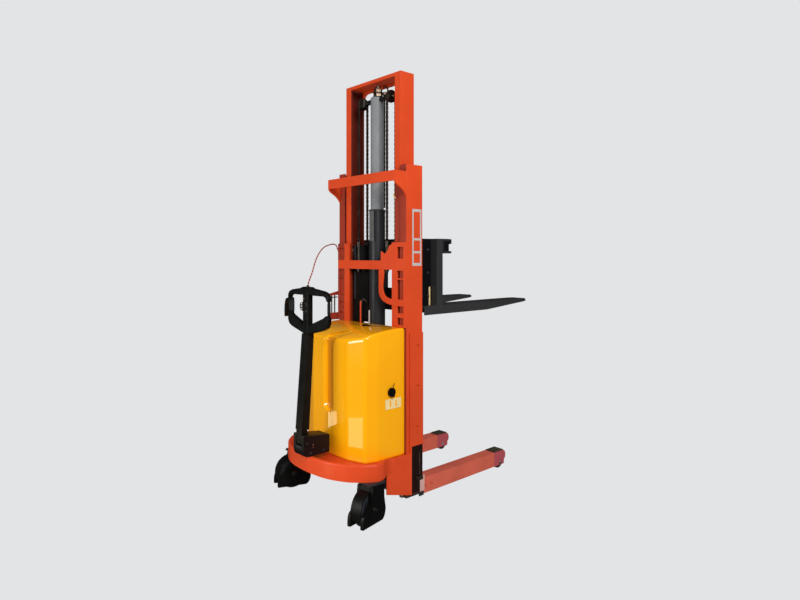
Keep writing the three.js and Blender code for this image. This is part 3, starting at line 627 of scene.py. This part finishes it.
def resampled(points, spacing):
    lengths = [0.0]
    for before, after in zip(points, points[1:]):
        lengths.append(lengths[-1] + (after - before).length)
    count = max(2, round(lengths[-1] / spacing))
    even, segment = [], 0
    for step in range(count + 1):
        wanted = lengths[-1] * step / count
        while segment < len(points) - 2 and lengths[segment + 1] < wanted:
            segment += 1
        span = lengths[segment + 1] - lengths[segment]
        share = (wanted - lengths[segment]) / span if span else 0.0
        even.append(points[segment].lerp(points[segment + 1], min(share, 1.0)))
    return even


def rounded_corners(points, radius, steps=6):
    """An open outline with each inner corner cut back and curved."""
    points = [Vector(point) for point in points]
    outline = [points[0]]
    for before, corner, after in zip(points, points[1:], points[2:]):
        back, ahead = before - corner, after - corner
        cut = min(radius, 0.45 * back.length, 0.45 * ahead.length)
        start = corner + back.normalized() * cut
        end = corner + ahead.normalized() * cut
        outline += [bezier(start, corner, end, step / steps) for step in range(steps + 1)]
    outline.append(points[-1])
    return outline


def tube(path, section, twist=0.0):
    """Sweeps a section, a list of (side, up) offsets, along a path, turning it by twist per millimetre."""
    heading = (path[1] - path[0]).normalized()
    side, up = across(heading)
    rings, travelled = [], 0.0
    for index, point in enumerate(path):
        ahead = path[min(index + 1, len(path) - 1)] - path[max(index - 1, 0)]
        turn = heading.rotation_difference(ahead.normalized())
        side, up, heading = turn @ side, turn @ up, ahead.normalized()
        angle = twist * travelled
        cos, sin = math.cos(angle), math.sin(angle)
        rings.append([point + side * (a * cos - b * sin) + up * (a * sin + b * cos) for a, b in section])
        if index + 1 < len(path):
            travelled += (path[index + 1] - point).length
    return loft(rings)


def disc_section(radius, sides=10):
    turns = [2 * math.pi * index / sides for index in range(sides)]
    return [(radius * math.cos(turn), radius * math.sin(turn)) for turn in turns]


def hex_bolt(centre, direction, size):
    """Washer, chamfered hexagon head and domed thread end, for a thread of the given size."""
    washer = turned(centre, direction, [(size, 0), (size, 2), (size - 1, 2.4)])
    flats = size * 0.86
    head = turned(centre, direction, [(flats, 2.2), (flats, size * 0.62), (flats * 0.86, size * 0.78)], 6)
    thread = [(size * 0.45, size * 0.7), (size * 0.45, size), (size * 0.3, size * 1.12)]
    return [washer, head, turned(centre, direction, thread, 16)]


def piece(name, shapes, material, body="chassis", radius=0.0):
    """Makes one object from mesh shapes in millimetres. With no body it is left unattached."""
    mesh = bpy.data.meshes.new(name)
    graph = bmesh.new()
    for vertices, faces in shapes:
        made = [graph.verts.new(spot(*vertex)) for vertex in vertices]
        for face in faces:
            graph.faces.new([made[index] for index in face])
    bmesh.ops.remove_doubles(graph, verts=graph.verts, dist=SAME_SPOT / 4)
    bmesh.ops.recalc_face_normals(graph, faces=graph.faces)
    graph.to_mesh(mesh)
    graph.free()
    mesh.materials.append(MATERIALS[material])
    obj = bpy.data.objects.new(name, mesh)
    bpy.context.scene.collection.objects.link(obj)
    mesh.polygons.foreach_set("use_smooth", [True] * len(mesh.polygons))
    mesh.set_sharp_from_angle(angle=SHARP_EDGE)
    if radius:
        soften(obj, radius, 2)
    if body:
        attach(obj, body)
    return obj


# Hood: one moulded shell with a channel that the tiller rests in

HOOD = {"bottom": 272.6, "shoulder": 11, "wall": 4}
HOOD_FOLDS = [(284, 330.5), (283.5, 148), (262, 78), (156, 44), (0, 37)]
HOOD_ROOF = [[(340, HOOD_TOP), (150, HOOD_TOP), (90, 920)], [(90, 920), (55, 908), (20, 874)]]
CHANNEL = [((-6, 37, 545), 44), ((-6, 37, 845), 44), ((2, 44, 885), 42), ((34, 66, 912), 34),
           ((90, 100, 930), 24), ((165, 150, 944), 10)]
CHANNEL_DEPTH = 17
SPINE_Y = 180


def roof_height(y):
    """Height of the roof's curves above a place, found by halving."""
    for start, control, end in HOOD_ROOF:
        if y < end[0]:
            continue
        low, high = 0.0, 1.0
        for _ in range(24):
            t = (low + high) / 2
            low, high = (t, high) if bezier(start[0], control[0], end[0], t) > y else (low, t)
        return bezier(start[1], control[1], end[1], t)
    return HOOD_ROOF[-1][-1][1]


def channel_depth(point):
    """How deep the channel is at a point of the hood's skin."""
    deepest = 0.0
    for (start, first), (end, last) in zip(CHANNEL, CHANNEL[1:]):
        start, end = Vector(start), Vector(end)
        along = end - start
        share = min(max((point - start).dot(along) / along.length_squared, 0.0), 1.0)
        radius = first + (last - first) * share
        gap = (point - start.lerp(end, share)).length
        wall = min(max((radius - gap) / 6, 0.0), 1.0)
        deepest = max(deepest, wall * wall * (3 - 2 * wall) * min(radius / 34, 1.0))
    return deepest * CHANNEL_DEPTH


def hood_column(corner, inward):
    """Points from the hood's foot, up its wall, round its shoulder and over its roof to the middle."""
    shoulder = HOOD["shoulder"]
    top = roof_height(corner.y) - shoulder
    rows = 72
    rise = (top - HOOD["bottom"]) / rows
    column = [Vector((corner.x, corner.y, HOOD["bottom"] + rise * row)) for row in range(rows)]
    for step in range(7):
        angle = math.pi / 2 * step / 6
        place = corner + inward * shoulder * (1 - math.cos(angle))
        column.append(Vector((place.x, place.y, roof_height(place.y) - shoulder * (1 - math.sin(angle)))))
    edge = column[-1]
    middle = Vector((0, max(edge.y, SPINE_Y), 0))
    for step in range(1, 29):
        place = edge.lerp(middle, step / 28)
        crown = 5 * (1 - (place.x / HOOD_FOLDS[0][0]) ** 2) * step / 28
        column.append(Vector((place.x, place.y, min(roof_height(place.y) + crown, HOOD_TOP))))
    return column


def add_hood():
    plan = resampled(rounded_corners(mirrored(HOOD_FOLDS), 14), 4.0)
    columns = []
    for index, corner in enumerate(plan):
        inward = inward_at(plan, index)
        column = hood_column(corner, inward)
        columns.append([point + inward * channel_depth(point) for point in column])
    shell = piece("hood_shell", [loft(columns, capped=False, closed=False)], "hood")
    wall = shell.modifiers.new("wall", "SOLIDIFY")
    wall.thickness = HOOD["wall"] * MM
    wall.offset = -1
    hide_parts("hood")


# Bumper: pressed sheet round the rear, rolled over at its top edge

BUMPER_HALF = [(309.2, 262), (310.5, 226), (318, 191), (337, 156), (362, 122), (372, 88), (362, 56),
               (322, 0), (262, -52), (150, -98), (0, -112)]
BUMPER_SECTION = [(0, 214), (0, 288), (1.2, 294), (4, 298), (8, 299.6), (13, 298), (22, 291), (34, 283),
                  (48, 278), (64, 275.5), (66, 273), (8.2, 273), (7.6, 214)]
BUMPER_SKIN = 9  # the section's wall and rolled edge lie within this
BUMPER_SHELF = 273
BUMPER_END_DROP = 26
BUMPER_END_RINGS = 14


def add_bumper():
    plan = smooth_path(mirrored(BUMPER_HALF), 9)
    rings = []
    for index, corner in enumerate(plan):
        from_end = min(index, len(plan) - 1 - index)
        inward = inward_at(plan, index) if from_end else Vector((-math.copysign(1, corner.x), 0, 0))
        reach = min(max(from_end / 6, 0.12), 1.0)
        fall = BUMPER_END_DROP * max(1 - from_end / BUMPER_END_RINGS, 0.0)
        ring = []
        for inset, height in BUMPER_SECTION:
            if inset > BUMPER_SKIN:
                inset = BUMPER_SKIN + (inset - BUMPER_SKIN) * reach
            if height > BUMPER_SHELF:
                height = max(height - fall, BUMPER_SHELF + 0.1 * (height - BUMPER_SHELF))
            ring.append(corner + inward * inset + Vector((0, 0, height)))
        rings.append(ring)
    bumper = piece("bumper", [loft(rings)], "orange")
    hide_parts("rear_skirt")


# Leaf chains


def chain_link(centre, along, outer):
    """The two plates of one link and the pin at its far end; inner and outer links take turns."""
    offsets = (-6.2, 6.2) if outer else (-3.6, 3.6)
    across_run = Vector((0, -along.z, along.y))
    shapes = []
    for offset in offsets:
        outline = []
        for end in (1, -1):
            for angle in HALF_TURN:
                reach = math.cos(angle) * 4 + LINK_PITCH / 2
                outline.append(centre + along * (end * reach) + across_run * (end * math.sin(angle) * 4))
        side = Vector((1.1, 0, 0))
        lift = Vector((offset, 0, 0))
        shapes.append(loft([[p + lift - side for p in outline], [p + lift + side for p in outline]]))
    pin = centre + along * (LINK_PITCH / 2)
    pin_profile = [(1.9, 0), (2.3, 0.4), (2.3, 14.6), (1.9, 15)]
    shapes.append(turned(pin - Vector((7.5, 0, 0)), (1, 0, 0), pin_profile, 8))
    return shapes


def add_chain(run, side, path):
    """One run of chain, from its anchor up to the sheave at the top of the inner mast."""
    x = side * SHEAVE["x"]
    centres = resampled([Vector((x, y, z)) for y, z in path], LINK_PITCH)
    shapes = []
    for index, (start, end) in enumerate(zip(centres, centres[1:])):
        along = (end - start).normalized()
        shapes += chain_link((start + end) / 2, along, index % 2 == 0)
    chain = piece(f"leaf_chain_{run}_{SIDE_NAMES[side]}", shapes, "chain", body=None)
    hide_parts(f"chain_{run}_{SIDE_NAMES[side]}")
    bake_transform(chain)


def add_chains():
    y, z, radius = SHEAVE["y"], SHEAVE["z"], SHEAVE["radius"]
    turns = [math.pi * index / 16 for index in range(17)]
    over = [(y - radius * math.cos(turn), z + radius * math.sin(turn)) for turn in turns]
    rear = [(y - radius, CHAIN_ANCHOR_Z)] + over
    front = [(y + radius, CHAIN_LUG_Z + 4), (y + radius, z - 4)]
    for side in SIDES:
        add_chain("rear", side, rear)
        add_chain("front", side, front)


# Tiller cable: a twisted pair from the head to the mast

CABLE_ROUTE = [(0, -95, 1169), (-2, -93, 1182), (-12, -78, 1206), (-36, -44, 1246), (-75, 12, 1325),
               (-135, 97, 1380), (-210, 203, 1402), (-276, 284, 1402), (-305, 320, 1380), (-308, 338, 1330),
               (-308, 340, 1200), (-308, 340, 1092)]
CABLE_RADIUS = 4.0


def add_tiller_cable():
    path = smooth_path(CABLE_ROUTE, 6)
    strand = CABLE_RADIUS / 2
    pair = []
    for lobe in (1, -1):
        for angle in HALF_TURN:
            pair.append((lobe * (strand + strand * math.cos(angle)), lobe * strand * math.sin(angle)))
    cable = piece("twisted_cable", [tube(path, pair, 2 * math.pi / 42)], "cable", body=None)
    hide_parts("tiller_cable")
    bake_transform(cable)


# Hydraulic hose: from the power pack up to the foot of the lift cylinder's port

HOSE_ROUTE = [(60, 300, 481), (52, 306, 530), (-10, 314, 600), (-70, 328, 680), (-100, 343, 780),
              (-106, 345, 920), (-104, 346, 1050), (-94, 354, 1080), (-76, 366, 1064), (-56, 380, 1010)]
HOSE_RADIUS = 6.5


def add_hose():
    path = smooth_path(HOSE_ROUTE, 5)
    hose = piece("ribbed_hose", [tube(path, disc_section(HOSE_RADIUS, 20))], "hose")
    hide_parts("hydraulic_hose")
    profile = [(HOSE_RADIUS, 0), (HOSE_RADIUS + 1.6, 1), (HOSE_RADIUS + 1.6, 22), (HOSE_RADIUS, 24)]
    ferrule = turned(path[-1], path[-7] - path[-1], profile)
    collars = piece("hose_ferrule", [ferrule], "brass")


# Fasteners

# Name, distance from the middle, the y and z values, thread, material, body
BOLTS = [
    ("side_plate_bolts", SIDE_PLATE_FACE, [408], [860, 420, 640], 9, "orange", "chassis"),
    ("carriage_bolts", CARRIAGE_FACE, [490, 540], [1110, 1240, 1370], 9, "black", "carriage"),
    ("load_axle_nuts", LEG_FACE, [1150], [40], 11, "zinc", "chassis"),
    ("leg_bolts", LEG_FACE, [490, 540], [70], 10, "leg", "chassis"),
    ("bracket_bolts", BRACKET_FACE, [-110, -30], [318], 7, "black", "chassis"),
    ("pivot_nut", 44.2, [-132], [370], 9, "oiled", "chassis"),
    ("sheave_nut", 144.1, [SHEAVE["y"]], [SHEAVE["z"]], 10, "brass", "inner_mast"),
]


def add_fasteners():
    for side, label in SIDE_NAMES.items():
        for name, face, y_values, z_values, size, material, body in BOLTS:
            shapes = []
            for y in y_values:
                for z in z_values:
                    shapes += hex_bolt((side * face, y, z), (side, 0, 0), size)
            piece(f"{name}_{label}", shapes, material, body)
    piece("rod_top_nut", hex_bolt((62, 384, 2252), (0, 0, 1), 17), "brass", "inner_mast")


# Lift cylinder and mast fittings


def add_cylinder_fittings():
    gland = [(46.4, 0), (47.6, 0.8), (47.6, 13), (46, 15), (40, 15), (40, 10)]
    piece("cylinder_gland", [turned((0, CYLINDER_Y, 1587), (0, 0, 1), gland, 40)], "black", radius=0.8)
    guard = slab((-11, 330, 1421), (26, 333, 1593))
    piece("cylinder_guard_strip", [guard], "cast", radius=0.6)
    strip = slab((51, 386, 1610), (62, 389, 2221))
    piece("mast_hose_strip", [strip], "plastic", "inner_mast", 0.8)
    port = turned((-40, CYLINDER_Y, 1018), (-1, 0, 0), [(9, 0), (9, 14), (7.5, 16), (7.5, 26)], 6)
    piece("hose_fitting", [port], "brass", radius=0.6)
    block = [slab((-112, 352, 2206), (-88, 372, 2252))]
    piece("bleed_block", block, "oiled", "inner_mast", 3)
    elbow = smooth_path([(76, 386, 2250), (84, 388, 2276), (70, 392, 2296), (52, 392, 2304)], 4)
    piece("rod_top_pipe", [tube(elbow, disc_section(5))], "brass", "inner_mast")


ROD_RADIUS = 38
ROD_SHOULDER = 2247
STUD_RADIUS = 15


def add_rod():
    """The lift cylinder's rod, with the stud and nuts that hold it under the top beam."""
    low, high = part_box("piston_rod")
    bottom, top = low[2] / MM, high[2] / MM
    reach = ROD_SHOULDER - bottom
    profile = [(ROD_RADIUS, 0), (ROD_RADIUS, reach - 3), (ROD_RADIUS - 3, reach)]
    body = turned((0, CYLINDER_Y, bottom), (0, 0, 1), profile, 48)
    shaft = piece("rod_shaft", [body], "rod", "inner_mast")
    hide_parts("piston_rod")
    bar = [(STUD_RADIUS, 0), (STUD_RADIUS, top - ROD_SHOULDER)]
    stud = [turned((6, CYLINDER_Y, ROD_SHOULDER - 1), (0, 0, 1), bar)]
    for height in (ROD_SHOULDER + 4, ROD_SHOULDER + 28):
        stud += hex_bolt((6, CYLINDER_Y, height), (0, 0, 1), 30)
    piece("rod_stud", stud, "brass", "inner_mast")


def add_crosshead():
    """Slim arms from the rod to the two chain sheaves."""
    y, z, reach = SHEAVE["y"], SHEAVE["z"], SHEAVE["x"]
    arms = []
    for side in SIDES:
        arms.append(side_slab(side, (ROD_RADIUS - 4, reach - 12), (y - 13, y + 13), (z - 12, z + 10)))
        arms.append(turned((side * (reach - 14), y, z), (side, 0, 0), [(9, 0), (9, 30)], 20))
    crosshead = piece("crosshead_arms", arms, "oiled", "inner_mast", 2)
    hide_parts("sheave_crosshead")


def add_top_beam():
    """A flat plate over the inner mast, with an arched web along its front edge only."""
    low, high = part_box("inner_top_beam")
    half, top = high[0] / MM, high[2] / MM
    front = high[1] / MM - REAR_CORNERS_Y
    rear = low[1] / MM - REAR_CORNERS_Y
    cap = slab((-half, rear, top - 20), (half, front, top))
    inside, foot, crown = half - 10, top - 128, top - 34
    corners = [(-inside, foot, 0), (-inside, crown, 0), (inside, crown, 0), (inside, foot, 0)]
    arch = [(x, z) for x, z, _ in rounded_corners(corners, 92, 12)]
    web = [(-half, top - 10), (-half, foot), *arch, (half, foot), (half, top - 10)]
    beam = piece("top_beam_plate", [cap, sheet_metal(web, "y", front - 12, front)], "orange", "inner_mast",
                 1.5)
    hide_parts("inner_top_beam")


def add_mast_screen():
    """Black guard between the operator and the left half of the mast, ribbed from top to bottom."""
    plate = [slab((-190, 360, 951), (-52, 362.5, 1259))]
    ribs = [slab((x, 357.5, 953), (x + 3, 360.3, 1257)) for x in range(-186, -56, 16)]
    hangers = [slab((x, 331, 1244), (x + 12, 360.5, 1268)) for x in (-184, -72)]
    piece("mast_screen", plate + ribs + hangers, "plastic", radius=0.5)
    hook = smooth_path([(214, 330, 1652), (214, 322, 1656), (214, 317, 1664), (214, 316, 1674)], 2)
    piece("cable_hook", [tube(hook, disc_section(3.5, 12))], "label")


PULL_ROD_FOOT = HOOD_TOP + 2


def add_mast_rods():
    """Two thin pull rods that rise from the hood between the uprights."""
    for name, x, top, material in (("pull_rod", -86, 1075, "orange"), ("stop_rod", -6, 1026, "film")):
        length = top - PULL_ROD_FOOT
        shaft = turned((x, 325.5, PULL_ROD_FOOT), (0, 0, 1), [(4.2, 0), (4.2, length - 6), (3, length)], 16)
        piece(name, [shaft], material)


def add_rod_bracket():
    """Small bracket on the left upright that guides two rods beside the cable."""
    foot = slab((-318, 262, 950), (-309, 348, 992))
    clamp = sheet_metal([(262, 1096), (270, 1108), (344, 1124), (344, 1098)], "x", -318, -309)
    piece("left_rod_bracket", [foot, clamp], "dull_red", radius=1.5)
    rods = [turned((-313.5, y, 990), (0, 0, 1), [(4, 0), (4, 106), (3, 107)], 16) for y in (284, 306)]
    rods.append(slab((-317, 276, 1082), (-310, 326, 1088)))
    piece("left_guide_rods", rods, "oiled")


# Plates and labels, all blank


def windowed_plate(y_lines, z_lines, holes, x, thickness):
    """A thin plate square to X, divided by a grid of lines, with the cells named in holes left open."""
    vertices, faces = [], []
    wide, tall = len(y_lines), len(z_lines)
    for depth in (x, x + thickness):
        vertices += [Vector((depth, y, z)) for z in z_lines for y in y_lines]
    layer = wide * tall
    solid = {(i, j) for i in range(wide - 1) for j in range(tall - 1)} - set(holes)
    for i, j in solid:
        corners = [j * wide + i, j * wide + i + 1, (j + 1) * wide + i + 1, (j + 1) * wide + i]
        faces.append(tuple(reversed(corners)))
        faces.append(tuple(corner + layer for corner in corners))
        beside = ((0, -1), (1, 0), (0, 1), (-1, 0))
        for (di, dj), first, last in zip(beside, corners, corners[1:] + corners[:1]):
            if (i + di, j + dj) not in solid:
                faces.append((first, last, last + layer, first + layer))
    return vertices, faces


def add_labels():
    y_lines = [374, 384, 432, 442]
    z_lines = [1282, 1298, 1350, 1362, 1420, 1432, 1575, 1590]
    frame_plate = windowed_plate(y_lines, z_lines, [(1, 1), (1, 3), (1, 5)], MAST_FACE, 0.9)
    piece("mast_plate", [frame_plate], "film")
    y_lines = [196, 226, 236, 266, 276, 306]
    hood_plate = windowed_plate(y_lines, [532, 540, 576, 584], [(1, 1), (3, 1)], HOOD_FACE, 0.8)
    piece("hood_plate", [hood_plate], "label")


# Tiller head and arm


HEAD_REAR = -108
HEAD_FRONT = -82
HEAD_TOP = [(0, 1131), (158, 1131), (176, 1122), (183, 1106), (196, 1106), (196, 1126), (184, 1146),
            (150, 1157), (50, 1168), (0, 1168)]
HEAD_FOOT = [(0, 930), (34, 931), (150, 958), (182, 972), (195, 994), (196, 1022), (184, 1036), (174, 1034),
             (150, 1020), (22, 975), (0, 972)]
LEFT_SHARE = 0.9
BOWS = {1: (185, 194.5), -1: (-176, -138)}  # the left grip is the thicker one


def add_head():
    """Stem, thick foot and slim bows of the tiller head, round two hand openings."""
    shell = [slab((-24, -112, 930.4), (24, -79, 1150))]
    for side, (low, high) in BOWS.items():
        share = 1.0 if side > 0 else -LEFT_SHARE
        for outline in (HEAD_TOP, HEAD_FOOT):
            shell.append(sheet_metal([(x * share, z) for x, z in outline], "y", HEAD_REAR, HEAD_FRONT))
        bow = slab((low, -102, 1020), (high, -89, 1112))
        sleeve = slab((low - 1, -103, 1040), (high + 1, -88, 1096))
        piece(f"grip_core_{SIDE_NAMES[side]}", [bow], "plastic", "tiller", 2)
        piece(f"grip_sleeve_{SIDE_NAMES[side]}", [sleeve], "grip", "tiller", 3)
    shell.append(slab((-190, -101, 1087), (-174, -89, 1107)))
    head = piece("head_shell", shell, "plastic", "tiller", 4)
    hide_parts("tiller_head")


def add_head_details():
    wing = [(-26, 1096), (-50, 1090), (-54, 1072), (-48, 1052), (-26, 1046)]
    piece("throttle_wing", [sheet_metal(wing, "y", -112, -90)], "grip", "tiller", 3)
    tabs = [slab((-40, -113.5, z), (-28, -110, z + 9)) for z in (1054, 1068, 1082)]
    piece("throttle_tabs", tabs, "film", "tiller", 1)
    bezel = [(14, 0), (14, 2.2), (12.6, 3), (10.6, 3), (10.6, 0.4)]
    rings = [turned((0, -111.8, z), (0, -1, 0), bezel, 28) for z in (1082, 1046)]
    piece("button_bezels", rings, "oiled", "tiller")
    dome = [(50, 1166), (44, 1171), (30, 1174.5), (-30, 1174.5), (-44, 1171), (-50, 1166)]
    piece("head_cap", [sheet_metal(dome, "y", -109, -81)], "plastic", "tiller", 2.5)
    gland = [(8, 0), (8, 5), (6.4, 9), (5, 12)]
    piece("cable_gland", [turned((0, -95, 1172), (0, 0, 1), gland, 20)], "hose", "tiller")
    lamp = turned((-12, -112, 1112), (0, -1, 0), [(4, 0), (4, 1.5), (2.4, 2.6)], 16)
    piece("charge_lamp", [lamp], "brass", "tiller")
    screws = [turned((BRACKET_FACE, -95, 357), (1, 0, 0), [(4.5, 0), (4.5, 1.5), (3, 2.5)], 12),
              turned((BRACKET_FACE, -95, 345), (1, 0, 0), [(3, 0), (3, 1.2), (2, 2)], 12)]
    piece("bracket_screws", screws, "brass")
    closing = slab((-25.6, -151.6, 339.6), (25.6, -148.5, 355))
    piece("bracket_rear_plate", [closing], "black", radius=0.6)


# Hood fittings


def add_hood_fittings():
    stem = smooth_path([(296, 240, 640), (297, 243, 654), (297, 249, 668)], 3)
    piece("switch_tag", [tube(stem, disc_section(1.6, 8))], "plastic", "battery_switch")
    catch = [slab((56, 232, 949), (98, 250, 957)), slab((66, 214, 949), (82, 236, 954.5))]
    piece("hood_catch", catch, "plastic", radius=2)


# Leg and chassis details

# Name, x range outwards from the middle, y and z ranges, material, radius of the edges
LEG_BLOCKS = [
    ("leg_root_cap", (303.8, 308.6), (426, 460), (52, 138), "pale_cap", 1.5),
    ("leg_tip_pad", (209, 281), (1102, 1186), (108.2, 112), "pad", 1),
    # The cut-out sheet is painted shade: a dark plate standing in for the shadow inside the cut-out.
    ("cutout_shade_sheet", (300.4, 303.4), (368, 449), (54, 306), "cutout_shade", 0.8),
    ("root_foot", (303.8, 309), (417, 454), (28, 51.5), "black", 3),
]


def add_leg_details():
    for side, label in SIDE_NAMES.items():
        for name, x_range, y_range, z_range, material, radius in LEG_BLOCKS:
            piece(f"{name}_{label}", [side_slab(side, x_range, y_range, z_range)], material, radius=radius)
        latch = [turned((side * 303.6, 425, 150), (0, 0, 1), [(5, 0), (5, 120), (3.5, 122)], 16),
                 side_slab(side, (303.6, 312), (398, 446), (118, 138))]
        piece(f"cutout_latch_{label}", latch, "brass" if side > 0 else "oiled", radius=1)
        foot = turned((side * 292, 306, 52), (0, 0, 1), [(12, 0), (14, 2), (14, 8), (7, 9), (7, 30)], 20)
        piece(f"plate_foot_{label}", [foot], "zinc")
    piece("bumper_bolt", hex_bolt((30, -84, 272), (0, 0, -1), 14), "zinc")


def add_carriage_details():
    for side, label in SIDE_NAMES.items():
        strip = side_slab(side, (CARRIAGE_FACE, 256), (547, 556), (1041, 1161))
        piece(f"carriage_wear_strip_{label}", [strip], "label", "carriage", 0.4)
        # The beam ends take the darker black, as painted shade.
        end = side_slab(side, (293.5, 299.8), (567, 664), (1352, 1431))
        piece(f"beam_end_{label}", [end], "shaded_black", "carriage", 1)
    lips = [slab((-299.8, 679, low), (299.8, 686.8, high)) for low, high in ((1404, 1432), (1351, 1362))]
    piece("beam_lips", lips, "black", "carriage", 3)


CASTER_TOE = math.radians(15)
CASTER_PIVOT = (333, 58)
CASTER_AXLE = (-34, 90)  # behind the pivot, above the floor
COVER_RINGS = ((151, -58, 54, 33), (186, -54, 53, 33), (203, -50, 50, 31))  # height, back, front, half width


def add_caster_details():
    for side, label in SIDE_NAMES.items():
        turn = Matrix.Rotation(side * CASTER_TOE, 4, "Z")
        pivot = Vector((side * CASTER_PIVOT[0], CASTER_PIVOT[1], 0))
        hub = pivot + turn @ Vector((0, *CASTER_AXLE))
        axle = turn @ Vector((1, 0, 0))
        for way in SIDES:
            cap = turned(hub + axle * way * 48.2, axle * way, [(17, 0), (17, 3), (13, 6), (8, 7)], 28)
            end = "outer" if way == side else "inner"
            piece(f"caster_cap_{end}_{label}", [cap] + hex_bolt(hub + axle * way * 54, axle * way, 8),
                  "oiled", f"caster_{label}")
        ring = turned(pivot + Vector((0, 0, 203.2)), (0, 0, -1), [(46, 0), (46, 1.2)], 40)
        piece(f"swivel_race_{label}", [ring], "oiled")
        cover = []
        for height, back, front, half in COVER_RINGS:
            corners = ((half, back), (half, front), (-half, front), (-half, back))
            cover.append([pivot + turn @ Vector((x, y, height)) for x, y in corners])
        piece(f"caster_cover_{label}", [loft(cover)], "plastic", f"caster_{label}", 3)
        spoke = [(24, 23.2), (60, 23.2), (63, 24.2), (70, 24.2), (72, 23.2)]
        rims = [turned(hub, axle * way, spoke, 48) for way in SIDES]
        piece(f"wheel_rims_{label}", rims, "case", f"caster_wheel_{label}")


add_camera()
add_world()
add_floor()
# The two low lamps are there for the hood to mirror, as bright windows near its foot.
add_area_light("key", (4.2, -2.1, 3.6), (0, 0, 1.0), (2.2, 2.2), 205)
add_area_light("rear", (-0.5, -3.4, 1.1), (0, -0.5, 0.7), (1.2, 1.2), 36)
add_area_light("low_panel", (-0.112, -1.6835, 0.02), (0.212, -0.585, 0.385), (0.34, 0.33), 0.95, PALE_YELLOW)
add_area_light("low_strip", (-0.879, -1.3155, 0.136), (0.039, -0.607, 0.455), (0.19, 0.13), 0.3, PALE_YELLOW)
dress_cad_nodes()
add_hood()
add_bumper()
add_chains()
add_tiller_cable()
add_hose()
add_fasteners()
add_cylinder_fittings()
add_rod()
add_crosshead()
add_top_beam()
add_mast_screen()
add_mast_rods()
add_rod_bracket()
add_labels()
add_head()
add_head_details()
add_hood_fittings()
add_leg_details()
add_carriage_details()
add_caster_details()
